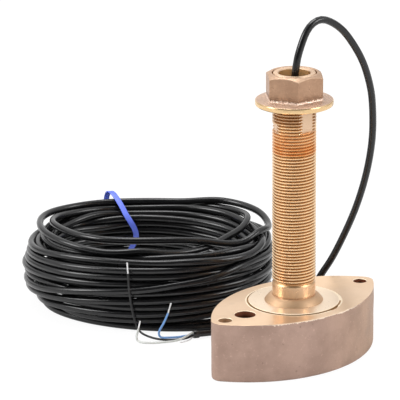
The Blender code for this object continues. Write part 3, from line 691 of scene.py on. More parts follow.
BLUE_TIP = [(-35.0, 73.15, 15.7), (-34.2, 72.7, 18.8), (-33.4, 72.3, 21.8)]
WHITE_ROUTE = [
    (-25.0, 62.4, 3.7), (-30.0, 61.9, 3.05), (-36.5, 62.9, 1.5), (-45.6, 68.3, 0.8),
    (-51.9, 73.0, 0.8), (-54.4, 77.4, 1.0), (-54.6, 79.2, 3.2), (-53.1, 79.3, 8.1),
]
WHITE_TIP = [(-53.0, 79.25, 8.4), (-52.5, 79.0, 10.8), (-52.1, 78.7, 13.1)]
DRAIN_ROUTE = [(-24.97, 62.3, 1.1), (-29.0, 60.6, 0.6), (-33.0, 60.4, 0.5), (-36.0, 61.0, 0.5)]
WIRE = 1.3
TIP = 0.9
DRAIN = 0.7
WIRE_STEP, STRAND_STEP = 0.9, 0.35
print("routes: black, blue, white, drain")


# %% [markdown]
# The insulation is soft plastic, and the white one lets some light in, so it gets a little
# subsurface scattering. The bare ends are tinned copper: bright, but not a mirror.


# %% Insulation and tin
def make_insulation(name, colour, see_through=0.0):
    """Soft wire insulation: a clean, slightly glossy plastic with faint colour changes."""
    plastic = Finish(name, Roughness=0.34, Specular_IOR_Level=0.5)
    place = plastic.place()
    if see_through:
        plastic.done(Subsurface_Weight=see_through, Subsurface_Radius=(MM, MM, MM))
    return plastic.done(
        Base_Color=plastic.mix(plastic.noise(place, 420.0, 2.0), shaded(colour, 0.82), colour),
        Normal=plastic.bump(plastic.noise(place, 1800.0, 2.0), FINE_GRAIN, 0.5),
    )


def make_tin():
    """Tinned copper: bright, a little grey, uneven where the solder ran."""
    tin = Finish("tinned_copper", Metallic=0.25)
    place = tin.place()
    patches = tin.noise(place, 900.0, 3.0)
    return tin.done(
        Base_Color=tin.mix(patches, (0.92, 0.92, 0.93), (0.99, 0.99, 0.99)),
        Roughness=tin.span(patches, 0.3, 0.7, 0.2, 0.4),
    )


# %% [markdown]
# A bare end is seven thin strands: one runs straight in the middle, and six are laid round it in
# a long twist. Each strand is a six-sided tube, and both of its ends are closed.


# %% Strands
def beside(point, side, up, reach, turn):
    """A place at this reach and angle from a point on a line."""
    return point + reach * (side * math.cos(turn) + up * math.sin(turn))


def strand_bundle(name, points, diameter, material, strands=7, pitch=5.0, sides=6):
    """Tinned strands: one in the middle and the rest laid round it in a long twist."""
    line = evenly(smooth_route(points), STRAND_STEP)
    radius = diameter / 6
    corners = [2 * math.pi * s / sides for s in range(sides)]
    verts, faces = [], []
    for k in range(strands):
        reach = 0.0 if k == strands - 1 else 2 * radius
        sections = []
        for i, (point, way) in enumerate(zip(line, directions(line))):
            side = np.cross(way, (0.0, 0.0, 1.0) if abs(way[2]) < 0.9 else (1.0, 0.0, 0.0))
            side /= np.linalg.norm(side)
            up = np.cross(side, way)
            twist = 2 * math.pi * (k / (strands - 1) + i * STRAND_STEP / pitch)
            centre = beside(point, side, up, reach, twist)
            sections.append([beside(centre, side, up, radius, turn) * MM for turn in corners])
        first = len(verts)
        strand, strip = ring_strip(sections)
        verts += strand
        faces += [tuple(first + v for v in face) for face in strip]
        faces.append(range(first, first + sides))
        faces.append(range(len(verts) - sides, len(verts)))
    return mesh_object(name, verts, faces, material)


# %% Wires and drain
tin_finish = make_tin()
for label, route, tip, colour, clear in (
    ("black", BLACK_ROUTE, BLACK_TIP, (0.012, 0.012, 0.013), 0.0),
    ("blue", BLUE_ROUTE, BLUE_TIP, (0.21, 0.42, 0.82), 0.0),
    ("white", WHITE_ROUTE, WHITE_TIP, (0.72, 0.74, 0.71), 0.3),
):
    insulation = make_insulation("insulation_%s_finish" % label, colour, clear)
    line = evenly(smooth_route(route), WIRE_STEP)
    wire = cord_object("wire_%s_cord" % label, line, WIRE, insulation)
    end = strand_bundle("wire_%s_strands" % label, tip, TIP, tin_finish)
    for piece, node, slot in (
        (wire, "wire_" + label, "insulation_" + label),
        (end, "wire_tip_" + label, "tinned_strands"),
    ):
        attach(piece, "transducer")
        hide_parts(node)
    print(label, "wire %.1f mm" % length_of(line))

drain = strand_bundle("drain_strands", DRAIN_ROUTE, DRAIN, tin_finish)
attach(drain, "transducer")
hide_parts("drain_wire")

# %% [markdown]
# ## Collar and tie
#
# A short dark collar closes the jacket's cut. The blue tie is a flat strap of soft plastic that
# goes once round the coil's far side, and it was pulled only hand-tight, so it stands up in a
# loose arch above the turns. Both ride with the cable.


# %% Collar
COLLAR_LENGTH = 3.4


def make_collar(segments=32):
    end, before = cable_points[-1], cable_points[-2]
    way = Vector(end - before).normalized()
    place = Matrix.Translation(Vector(end) * MM) @ way.to_track_quat("Z", "Y").to_matrix().to_4x4()
    inner, outer = CABLE / 2 + 0.05, CABLE / 2 + 0.5
    profile = [
        (inner, -COLLAR_LENGTH), (outer - 0.2, -COLLAR_LENGTH), (outer, -COLLAR_LENGTH + 0.25),
        (outer + 0.03, -COLLAR_LENGTH / 2), (outer, -0.25), (outer - 0.2, 0.1), (inner, 0.1),
    ]
    sections = []
    for k in range(segments):
        turn = 2 * math.pi * k / segments
        wave = 1 + 0.012 * math.sin(3 * turn + 0.6)
        sections.append([
            place @ (Vector((r * wave * math.cos(turn), r * wave * math.sin(turn), z)) * MM)
            for r, z in profile
        ])
    verts, faces = ring_strip(sections, close_along=True)
    rubber = make_jacket("collar_rubber_finish", (0.012, 0.012, 0.012))
    return mesh_object("jacket_collar_ring", verts, faces, rubber)


collar = make_collar()
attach(collar, "transducer")
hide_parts("jacket_collar")

# %% Tie
TIE_WIDTH = 3.4
TIE_THICKNESS = 0.6
TIE_SIDES = (111, 114)  # degrees round the oval, one on each side of the strap's foot
# (angle round the oval, offset, height) of the strap's middle line, once round the turns
TIE_ROUTE = [
    (112.0, -10.6, 12.0), (110.0, -10.8, 17.0), (108.2, -10.9, 21.5), (106.0, -11.4, 26.5),
    (105.2, -12.2, 31.0), (106.2, -13.0, 35.2), (108.4, -12.6, 39.4), (111.0, -10.4, 43.4),
    (113.2, -5.6, 47.4), (115.2, -0.6, 50.8), (117.2, 4.6, 53.6), (118.6, 8.2, 53.8),
    (119.5, 10.4, 50.8), (119.9, 11.4, 46.0), (120.0, 12.4, 38.0), (119.6, 12.4, 26.0),
    (118.6, 11.0, 14.0), (117.4, 8.6, 6.0), (116.0, 5.0, 1.2), (114.6, 0.0, 0.5),
    (113.6, -6.0, 0.7), (113.0, -10.0, 4.0),
]


def make_tie_finish():
    plastic = Finish("tie_plastic_finish", Roughness=0.42, Specular_IOR_Level=0.45)
    place = plastic.place()
    streaks = plastic.noise(place, 160.0, 2.0)
    return plastic.done(
        Base_Color=plastic.mix(streaks, (0.105, 0.16, 0.74), (0.16, 0.235, 0.90)),
        Normal=plastic.bump(plastic.noise(place, 1500.0, 2.0), 0.00004, 0.5),
        Subsurface_Weight=0.15,
        Subsurface_Radius=(MM, MM, MM),
    )


def make_tie(fine=12):
    closed = TIE_ROUTE[-2:] + TIE_ROUTE + TIE_ROUTE[:2]
    places = [oval_point(math.radians(a), offset, height) for a, offset, height in closed]
    line = smooth_route(places, fine)[2 * fine : -2 * fine - 1]
    count = len(line)
    # the strap's rounded section, as shares of its width and thickness
    corner_at = [(-0.5, -0.35), (-0.42, -0.5), (0.42, -0.5), (0.5, -0.35)]
    corner_at += [(-u, -v) for u, v in corner_at]
    near, far = (np.array(oval_point(math.radians(angle), 0, 0)) for angle in TIE_SIDES)
    around = (far - near) / np.linalg.norm(far - near)
    sections = []
    for i in range(count):
        way = line[(i + 1) % count] - line[i - 1]
        way /= np.linalg.norm(way)
        across = around - way * (around @ way)
        across /= np.linalg.norm(across)
        wide, thick = across * TIE_WIDTH, np.cross(way, across) * TIE_THICKNESS
        sections.append([(line[i] + wide * u + thick * v) * MM for u, v in corner_at])
    verts, faces = ring_strip(sections, close_along=True)
    print("tie goes round", np.round(line.mean(axis=0)), "in", count, "steps")
    return mesh_object("cable_tie_strap", verts, faces, make_tie_finish())


tie = make_tie()
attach(tie, "transducer")
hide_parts("cable_tie")

# %% [markdown]
# The small pieces on a cord are named with it.

# %% [markdown]
# ## Bronze finishes
#
# The body is sand cast. Where it was left as cast it is a dull pinkish brown with fine pits,
# and where it was faced on a lathe it is pale and warm with faint turning marks. Both are one
# metal, so their finishes are built alike: clouds of two close colours, a span of roughness and
# a bump. The thread is bright on its crests, and painted shade darkens its roots.


# %% Heights that the finishes need
BODY_TOP = 35.0  # the faced top round the pad, in millimetres
NECK_TOP = 47.5
STEM_RADIUS = 12.7
NUT_FOOT = 152.8
SEAM = (NUT_FOOT + 4.2, NUT_FOOT + 5.75)  # heights of the crumbly line between flange and hexagon
SEAM_CRUMBS = 0.004  # metres by which the crumbs may shift the line's edges
TURNING_PITCH = 0.0007  # metres between the marks that the cutter leaves
# heights in millimetres where the stain begins, fades upwards and ends, and where the painted shadow under
# the nut sets in
STAIN_FOOT, STAIN_FADE, STAIN_TOP = (125.2, 125.9), (130.0, 133.0), (137.6, 140.0)
NUT_SHADOW = (142.0, 145.5)

print("seam from %.2f to %.2f mm" % SEAM)

# %% [markdown]
# Sand leaves clouds of two close colours, fine grit, and pits that are both dark and deep. Two
# places need more: the body's upper edge, where a cutter dragged bright metal over the rough
# side, and the corner between the nut's flange and its hexagon, where sand stuck.


# %% Cast bronze
def add_burr(bronze, place, colour):
    """Bright metal dragged over the rough upper edge by the cutter, on the front right."""
    height = bronze.part(place, 2)
    along = bronze.part(place, 0)
    warm = bronze.span_mm(along, -15, 40)
    colour = bronze.mix(warm, colour, (1.0, 0.97, 0.85), blend="MULTIPLY")
    ragged = bronze.noise(place, 420.0, 3.0, 0.7)
    reach = bronze.span(ragged, 0.45, 0.70, (BODY_TOP - 0.35) * MM, (BODY_TOP - 1.5) * MM)
    near_edge = bronze.math("GREATER_THAN", height, reach)
    worn = bronze.times(bronze.span_mm(along, -46, -34), bronze.span_mm(along, 10, 32, 1.0, 0.0))
    return bronze.mix(bronze.times(near_edge, worn), colour, (0.90, 0.73, 0.57))


def add_seam(bronze, place, colour, dark):
    """Sand stuck in the corner and left a pale, crumbly line; above it the hexagon is darker in blotches,
    most towards its foot.
    """
    low, high = SEAM
    height = bronze.part(place, 2)
    dull = bronze.span_mm(height, high + 1.6, high + 4.2, 0.95, 0.25)
    blotches = bronze.span(bronze.noise(place, 230.0, 3.0, 0.6), 0.32, 0.58)
    colour = bronze.mix(bronze.times(dull, blotches), colour, shaded(dark, 0.68))
    crumbs = bronze.noise(place, 900.0, 3.0, 0.7)
    shift = bronze.times(bronze.math("SUBTRACT", crumbs, 0.5), SEAM_CRUMBS)
    height = bronze.math("ADD", height, shift)
    upper = bronze.span_mm(height, high, high + 0.2, 1.0, 0.0)
    inside = bronze.times(bronze.span_mm(height, low - 0.2, low), upper)
    return bronze.mix(bronze.times(inside, 0.95), colour, (0.93, 0.69, 0.55))


def make_cast_bronze(name, light, dark, metallic, roughness, pitted=0.6, burr=False, seam=False):
    bronze = Finish(name, Metallic=metallic)
    place = bronze.place()
    clouds = bronze.noise(place, 55.0, 4.0, 0.6)
    grit = bronze.noise(place, 1100.0, 4.0, 0.7)
    pits = bronze.noise(place, 480.0, 2.0, 0.5)
    specks = bronze.noise(place, 760.0, 2.0, 0.5, 0.6)
    colour = bronze.mix(bronze.span(clouds, 0.38, 0.62), dark, light)
    colour = bronze.mix(bronze.span(specks, 0.64, 0.74, 0.0, 0.6), colour, shaded(light, 1.3))
    colour = bronze.mix(bronze.span(pits, 0.70, 0.76, 0.0, pitted), colour, shaded(dark, 0.55))
    if burr:
        colour = add_burr(bronze, place, colour)
    if seam:
        colour = add_seam(bronze, place, colour, dark)
    height = bronze.math("SUBTRACT", grit, bronze.span(pits, 0.66, 0.74, 0.0, 0.8))
    return bronze.done(
        Base_Color=colour,
        Roughness=bronze.span(clouds, 0.3, 0.7, *roughness),
        Normal=bronze.bump(height, 0.0002, 0.95),
    )


# %% [markdown]
# Turned metal has grooves too fine to model. An anisotropic shader spreads the highlight across
# them, as real grooves do, and a sine of the distance from the axis makes the visible marks.


# %% Turned bronze
def make_machined_bronze(name, light, dark, roughness, metallic, grain_along=0.0, bump=0.4, depth=None):
    """Turned metal. Its grooves run round the axis, so they spread a highlight up and down."""
    bronze = Finish(name, Metallic=metallic)
    if grain_along:
        around = bronze.add("Tangent", 0, {"direction_type": "RADIAL", "axis": "Z"})
        bronze.done(Anisotropic=grain_along, Anisotropic_Rotation=0.25, Tangent=around)
    place = bronze.place()
    clouds = bronze.noise(place, 45.0, 4.0, 0.6)
    grain = bronze.noise(place, 500.0, 3.0, 0.6)
    turns = bronze.math("SINE", bronze.times(bronze.from_axis(place), 2 * math.pi / TURNING_PITCH))
    stain = bronze.noise(place, 85.0, 2.0)
    colour = bronze.mix(bronze.span(clouds, 0.3, 0.7), dark, light)
    colour = bronze.mix(bronze.span(stain, 0.6, 0.75, 0.0, 0.3), colour, shaded(dark, 0.8))
    if depth:
        # painted shade: down in a drilled hole the colour darkens with depth
        deep = bronze.span_mm(bronze.part(place, 2), *depth)
        colour = bronze.mix(deep, colour, shaded(dark, 0.12))
    return bronze.done(
        Base_Color=colour,
        Roughness=bronze.span(grain, 0.3, 0.7, *roughness),
        Normal=bronze.bump(bronze.math("ADD", bronze.times(turns, 0.12), grain), FINE_GRAIN, bump),
    )


# %% [markdown]
# The thread's colours depend on the place: the distance from the axis tells crest from root, and
# the height tells where the stained band lies and where painted shadow darkens the metal under the nut.


# %% The thread's bronze
def make_thread_bronze(name="thread_bronze_finish"):
    """Bright crests, painted shade in the roots and under the nut, and a band that heat or acid may have
    turned copper red.
    """
    bronze = Finish(name, Metallic=0.9)
    place = bronze.place()
    height = bronze.part(place, 2)
    clouds = bronze.noise(place, 70.0, 3.0)
    root = bronze.span_mm(bronze.from_axis(place), STEM_RADIUS - 1.15, STEM_RADIUS - 0.25, 1.0, 0.0)
    colour = bronze.mix(clouds, (0.90, 0.61, 0.35), (0.98, 0.71, 0.43))
    blotch = bronze.noise(place, 110.0, 3.0, 0.6)
    band = bronze.times(bronze.span_mm(height, *STAIN_FOOT), bronze.span_mm(height, *STAIN_TOP, 1.0, 0.0))
    deep = bronze.times(band, bronze.span_mm(height, *STAIN_FADE, 1.0, 0.6))
    band_share = bronze.times(deep, bronze.span(blotch, 0.3, 0.6, 0.55, 1.0))
    colour = bronze.mix(band_share, colour, (0.80, 0.36, 0.12))
    # painted shadow: the thread turns darker brown under the nut's flange
    colour = bronze.mix(bronze.span_mm(height, *NUT_SHADOW, 0.0, 0.9), colour, (0.54, 0.34, 0.20))
    # painted shade: where the ridge runs out into the neck it darkens like a root
    run_out = bronze.span_mm(height, NECK_TOP + 0.3, NECK_TOP + 1.1, 0.5, 0.0)
    root = bronze.math("MAXIMUM", root, run_out)
    # painted shade in the thread's roots, lighter inside the stained band
    root_shade = bronze.times(root, bronze.span(band, 0.0, 1.0, 0.9, 0.55))
    return bronze.done(
        Base_Color=bronze.mix(root_shade, colour, (0.33, 0.125, 0.02)),
        Roughness=bronze.span(root, 0.0, 1.0, 0.24, 0.5),
        Normal=bronze.bump(bronze.noise(place, 500.0, 2.0), FINE_GRAIN, 0.2),
    )


# %% [markdown]
# One row of a table holds what differs between the turned surfaces. HOUSING_FINISHES has the
# order of the housing's material slots, and the names in capitals are the numbers in it.

# %% Finishes of the housing and the nut
# (finish, light, dark, span of the roughness, metallic, and where needed: grain along the axis,
# bump, heights in millimetres between which painted shade darkens it)
TURNED_METALS = [
    ("faced_bronze_finish", (0.86, 0.625, 0.425), (0.79, 0.555, 0.36), (0.30, 0.37), 0.75, 0.7),
    ("spot_bronze_finish", (0.96, 0.78, 0.59), (0.92, 0.73, 0.535), (0.27, 0.33), 0.75, 0.7),
    ("bore_bronze_finish", (0.88, 0.56, 0.26), (0.66, 0.40, 0.17), (0.34, 0.46), 0.6),
    ("flat_bronze_finish", (0.76, 0.54, 0.37), (0.72, 0.50, 0.33), (0.40, 0.50), 0.7),
    ("foot_bronze_finish", (0.60, 0.40, 0.245), (0.55, 0.355, 0.21), (0.48, 0.58), 0.75),
    ("neck_bronze_finish", (0.80, 0.53, 0.32), (0.75, 0.48, 0.28), (0.22, 0.28), 0.64, 0.9),
    # painted shade: the groove round the pad is coloured dark
    ("moat_bronze_finish", (0.42, 0.25, 0.11), (0.34, 0.19, 0.08), (0.45, 0.60), 0.5),
    # the holes' walls are red-brown, with painted shade deeper down
    ("hole_bronze_finish", (0.62, 0.24, 0.13), (0.36, 0.13, 0.07), (0.35, 0.50), 0.7, 0.0, 0.4,
     (BODY_TOP - 1.9, BODY_TOP - 4.4)),
    ("port_hole_bronze_finish", (0.70, 0.46, 0.28), (0.50, 0.32, 0.19), (0.35, 0.50), 0.4),
    # painted highlight: a bright finish for edges and rims
    ("burnished_edge_finish", (0.98, 0.83, 0.62), (0.95, 0.78, 0.57), (0.35, 0.45), 0.25),
    ("nut_rim_finish", (0.83, 0.58, 0.31), (0.79, 0.54, 0.28), (0.17, 0.21), 0.9, 0.9, 0.08),
    # painted shade: a darker copy of the turned bronze, for the nut's top chamfer and face
    ("nut_chamfer_finish", (0.58, 0.39, 0.27), (0.51, 0.34, 0.225), (0.46, 0.56), 0.7),
]
(faced_finish, spot_finish, bore_finish, flat_finish, foot_finish, neck_finish, moat_shade_finish, hole_finish,
 port_hole_finish, edge_finish, rim_finish, chamfer_shade_finish) = (
    make_machined_bronze(*metal) for metal in TURNED_METALS
)
thread_finish = make_thread_bronze()
cast_finish = make_cast_bronze(
    "cast_bronze_finish", (0.466, 0.312, 0.247), (0.367, 0.239, 0.186), 0.3, (0.46, 0.6), burr=True
)
nut_finish = make_cast_bronze(
    "nut_bronze_finish", (0.56, 0.345, 0.222), (0.455, 0.27, 0.17), 0.8, (0.34, 0.46), seam=True
)
crown_finish = make_cast_bronze(
    "nut_crown_finish", (0.63, 0.44, 0.32), (0.53, 0.36, 0.26), 0.5, (0.40, 0.50), pitted=0.25
)
NUT_FINISHES = (nut_finish, rim_finish, crown_finish, chamfer_shade_finish)
HOUSING_FINISHES = (
    cast_finish, faced_finish, foot_finish, neck_finish, moat_shade_finish, thread_finish, hole_finish,
    edge_finish, flat_finish, spot_finish, bore_finish, port_hole_finish,
)
CAST, FACED, FOOT, NECK, MOAT, THREAD, HOLE, EDGE, FLAT, SPOT, BORE, PORT_HOLE = range(len(HOUSING_FINISHES))
print("bronze finishes ready")

# %% [markdown]
# ## The body
#
# Seen from above, the body is a pointed oval: two long bows that meet in round tips, so its
# outline is made of four arcs that touch smoothly. The sides are rings of that outline, fine
# enough to carry the sand's unevenness as real shape, with nicks along the upper edge where the
# casting was knocked. The holes are cut with booleans, with a small chamfer at each rim.

# %% Body sizes, in millimetres
BODY_LENGTH, BODY_WIDTH = 122.4, 68.0
TIP_RADIUS = 6.8
FOOT_ROUND = 1.4
PAD_TOP, PAD_DIAMETER = 35.6, 53.2
FOOT_LEVEL = 35.4
POCKET_DIAMETER, POCKET_DEPTH = 58.0, 27.0
HOLES = ((-52.9, 8.0), (52.9, 8.0), (-37.7, 12.2))
STEM_DIAMETER = 2 * STEM_RADIUS
STEM_TOP = 172.4
STEM_BORE = 18.4
NECK_RADIUS, NECK_CHAMFER = 12.6, 0.7
ROUND = 108  # segments round the stem
ROUND_WIDE = 144  # segments round the pad and its groove
ROUND_TOOL, ROUND_DRILL = 96, 40  # segments of the pocket and the bite, and of the holes
# (size, amount) of the sand mould's coarse and fine unevenness
SAND = ((11.0, 0.14), (1.6, 0.07))


# %% [markdown]
# The bow's radius follows from the body's length, its width and the tip's radius: only one
# circle reaches the full width and also runs into both round tips without a corner.


# %% The body's outline
def pointed_oval(inset=0.0, bow_steps=170, tip_steps=36):
    """The body's outline, moved inwards by the inset."""
    half_length, half_width = BODY_LENGTH / 2 - inset, BODY_WIDTH / 2 - inset
    tip = TIP_RADIUS - inset
    tip_centre = half_length - tip
    bow = (tip_centre**2 + half_width**2 - tip**2) / (2 * (half_width - tip))
    meet = math.atan2(bow - half_width, tip_centre)
    points = []
    for side in (1, -1):
        for step in range(bow_steps):
            angle = meet + (math.pi - 2 * meet) * step / bow_steps
            across = bow * math.sin(angle) - bow + half_width
            points.append((side * bow * math.cos(angle), side * across))
        for step in range(tip_steps):
            angle = math.pi - meet + 2 * meet * step / tip_steps
            points.append((side * (tip * math.cos(angle) - tip_centre), side * tip * math.sin(angle)))
    return points


def sand(point):
    """Unevenness of the sand mould at a point, in millimetres."""
    return sum(noise.fractal(point / size, 0.8, 2.0, 3) * amount for size, amount in SAND)


# (place along the length, how wide, how deep) of the nicks in the front's upper edge
EDGE_NICKS = [(-22, 1.4, 0.5), (-14, 0.9, 0.35), (-3, 2.0, 0.6), (3.5, 1.0, 0.7), (9, 1.6, 0.45),
              (17, 1.2, 0.6), (24, 2.2, 0.4), (33, 1.0, 0.5), (41, 1.5, 0.35)]


def edge_wear(x, y):
    """How far the upper edge is worn back at this place of the outline."""
    wear = 0.12 + 0.16 * max(0.0, noise.noise(Vector((x, y, 3.0)) / 3.1))
    wear += 0.10 * max(0.0, noise.noise(Vector((x, y, 9.0)) / 0.9))
    if y < 0:
        for place, wide, deep in EDGE_NICKS:
            wear += deep * math.exp(-(((x - place) / wide) ** 2))
    return wear


# %% [markdown]
# The blank is a stack of outlines. The lowest are rounded under, the middle ones are pushed in
# and out by noise as the sand did, and the last three make the worn upper edge.


# %% The blank
def make_body_blank(foot_steps=4, rows=38):
    outline = pointed_oval()
    count = len(outline)
    levels = []
    for step in range(foot_steps + 1):
        angle = math.pi / 2 * step / foot_steps
        levels.append((FOOT_ROUND * (1 - math.sin(angle)), FOOT_ROUND * (1 - math.cos(angle))))
    levels += [(0.0, height) for height in np.linspace(FOOT_ROUND + 1.2, BODY_TOP - 1.0, rows)]
    sections = []
    for inset, height in levels:
        ring = []
        for x, y in pointed_oval(inset):
            point = Vector((x, y, height))
            ring.append(point + Vector((x, y, 0.0)).normalized() * sand(point))
        sections.append(ring)
    for share, drop in ((0.0, 1.0), (0.3, 0.3), (1.0, 0.0)):
        ring = []
        for x, y in outline:
            wear = edge_wear(x, y)
            out = Vector((x, y, 0.0)).normalized()
            ring.append(Vector((x, y, BODY_TOP - wear * drop)) - out * wear * share)
        sections.append(ring)
    verts, faces = ring_strip(sections)
    faces.append(range(count))
    faces.append(range(len(verts) - count, len(verts)))
    return mesh_object("housing_casting", [v * MM for v in verts], faces, *HOUSING_FINISHES)


# %% [markdown]
# Everything else on the body is turned or drilled, so a tool is an outline carried round an
# upright axis. The exact solver is slower than the fast one, but it copes with faces that touch.


# %% Turned tools
def turned(profile, segments=ROUND, centre=(0.0, 0.0)):
    """Turns a closed outline of (radius, height) round an upright axis, in millimetres."""
    sections = []
    for k in range(segments):
        turn = 2 * math.pi * k / segments
        c, s = math.cos(turn), math.sin(turn)
        sections.append([
            Vector((centre[0] + r * c, centre[1] + r * s, z)) * MM for r, z in profile
        ])
    verts, faces = ring_strip(sections, close_along=True)
    piece = mesh_object("turned_tool", verts, faces)
    bm = bmesh.new()
    bm.from_mesh(piece.data)
    bmesh.ops.remove_doubles(bm, verts=bm.verts, dist=1e-7)
    bmesh.ops.dissolve_degenerate(bm, edges=bm.edges, dist=1e-8)
    bmesh.ops.recalc_face_normals(bm, faces=bm.faces)
    bm.to_mesh(piece.data)
    bm.free()
    return piece


def cut_or_join(piece, other, operation):
    """Applies one boolean and removes the tool."""
    modifier = piece.modifiers.new("tool", "BOOLEAN")
    modifier.operation = operation
    modifier.object = other
    modifier.solver = "EXACT"
    graph = bpy.context.evaluated_depsgraph_get()
    mesh = bpy.data.meshes.new_from_object(piece.evaluated_get(graph))
    piece.modifiers.clear()
    old = piece.data
    piece.data = mesh
    bpy.data.meshes.remove(old)
    bpy.data.objects.remove(other, do_unlink=True)


def disc(radius, low, high):
    """The outline of a plain round tool, as (radius, height) in millimetres."""
    return [(0.0, low), (radius, low), (radius, high), (0.0, high)]


def hole_profile(diameter, low, high, chamfer=0.35):
    """A drill with a countersink just under its upper end."""
    r, wide, above = diameter / 2, diameter / 2 + chamfer, high + 1.0
    return [(0.0, low), (r, low), (r, high - chamfer), (wide, high), (wide, above), (0.0, above)]


def pad_profile():
    """The raised round pad that seats against the hull, with a broken edge."""
    edge = PAD_DIAMETER / 2
    low = BODY_TOP - 3.0
    return [(0.0, low), (edge, low), (edge, PAD_TOP - 0.3), (edge - 0.4, PAD_TOP), (0.0, PAD_TOP)]


# (radius, height above FOOT_LEVEL) of the boss at the stem's foot and the small groove above it
BOSS_SHAPE = (
    (0.0, -2.0), (17.2, -2.0), (17.15, 0.35), (16.85, 0.8), (16.2, 1.6), (15.5, 2.4), (14.7, 3.2),
    (13.9, 3.85), (13.2, 4.15), (12.8, 4.15), (12.35, 4.1), (12.3, 4.4), (NECK_RADIUS, 4.75),
)
# (radius, height above NECK_TOP) of the plain neck's upper end
NECK_SHAPE = (
    (NECK_RADIUS, -1.0), (NECK_RADIUS - NECK_CHAMFER / 2, -0.6), (NECK_RADIUS - NECK_CHAMFER, 0.0), (0.0, 0.0)
)

# %% [markdown]
# The cutter ran a little aslant: the groove round the pad is deep on the left and runs out on
# the right, and one bite beside the pad went wider. So the groove's tool is tilted before it
# cuts. The pad and the boss are joined after the groove, or it would cut into them.

# %% Cut the groove, the pad, the pocket and the holes
MOAT_DEPTH = 0.75  # at its deepest
MOAT_MIDDLE_DEPTH = 0.27
MOAT_RADIUS = 27.55
MOAT_LEAN = math.radians(0.85)
MOAT_DEEPEST = math.radians(-165)
BITE_RADIUS, BITE_DEPTH, BITE_REACH, BITE_TURN = 9.5, 0.6, 19.0, math.radians(-74)
LIP_WIDTH, LIP_DEPTH = 0.9, 0.04  # a narrow ring just outside the groove, cut a hair lower, carries a painted highlight

housing = make_body_blank()
lip = disc(MOAT_RADIUS + LIP_WIDTH, BODY_TOP - LIP_DEPTH, BODY_TOP + 1.0)
cut_or_join(housing, turned(lip, ROUND_WIDE), "DIFFERENCE")
moat_floor = BODY_TOP - MOAT_MIDDLE_DEPTH
moat_tool = turned(disc(MOAT_RADIUS, moat_floor, BODY_TOP + 2.0), ROUND_WIDE)
lean_axis = Vector((-math.sin(MOAT_DEEPEST), math.cos(MOAT_DEEPEST), 0.0))
middle = Matrix.Translation((0.0, 0.0, moat_floor * MM))
moat_tool.data.transform(middle @ Matrix.Rotation(MOAT_LEAN, 4, lean_axis) @ middle.inverted())
cut_or_join(housing, moat_tool, "DIFFERENCE")
bite_at = (BITE_REACH * math.cos(BITE_TURN), BITE_REACH * math.sin(BITE_TURN))
bite = [(0.0, BODY_TOP - BITE_DEPTH), (BITE_RADIUS - 0.5, BODY_TOP - BITE_DEPTH),
        (BITE_RADIUS, BODY_TOP - 0.2), (BITE_RADIUS, BODY_TOP + 1.0), (0.0, BODY_TOP + 1.0)]
cut_or_join(housing, turned(bite, ROUND_TOOL, bite_at), "DIFFERENCE")
cut_or_join(housing, turned(pad_profile(), ROUND_WIDE), "UNION")
boss = [(r, FOOT_LEVEL + rise) for r, rise in BOSS_SHAPE]
boss += [(r, NECK_TOP + rise) for r, rise in NECK_SHAPE]
cut_or_join(housing, turned(boss), "UNION")
cut_or_join(housing, turned(disc(POCKET_DIAMETER / 2, -1.0, POCKET_DEPTH), ROUND_TOOL), "DIFFERENCE")
for reach, diameter in HOLES:
    drill = turned(hole_profile(diameter, -1.0, BODY_TOP), ROUND_DRILL, (reach, 0.0))
    cut_or_join(housing, drill, "DIFFERENCE")
cut_or_join(housing, turned(disc(STEM_BORE / 2, POCKET_DEPTH - 1.0, NECK_TOP + 1.0)), "DIFFERENCE")
print("body faces:", len(housing.data.polygons))

# %% [markdown]
# ## The thread
#
# The thread runs the whole stem, with fourteen threads to the inch, which is close to what the
# photo shows. A thread is a helix, so its mesh is one too: the profile of a single ridge is
# carried round, rising by one pitch each turn, and every turn shares its upper corners with the
# next. Two flats are milled across it near the top, which shaves the corners back to a plane. At
# the lower end the ridge fades into the plain neck.

# %% Thread
PITCH = 25.4 / 14
THREAD_DEPTH = 1.1
# (share of the pitch, share of the depth) of one ridge
RIDGE = ((0.0, 0.0), (0.22, 0.0), (0.46, 0.9), (0.52, 1.0), (0.72, 1.0), (0.78, 0.9))
# (turn from +X in degrees, height of the middle, height of the flat, depth)
FLATS = ((-89.5, 146.2, 14.6, 1.75), (156.0, 140.6, 4.6, 1.5))


def shave(x, y, z):
    """Where a flat crosses the thread, the metal outside its plane is gone."""
    for turn, middle, height, depth in FLATS:
        if abs(z - middle) < height / 2:
            nx, ny = math.cos(math.radians(turn)), math.sin(math.radians(turn))
            over = x * nx + y * ny - (STEM_RADIUS - depth)
            if over > 0:
                x, y = x - nx * over, y - ny * over
    return x, y, z


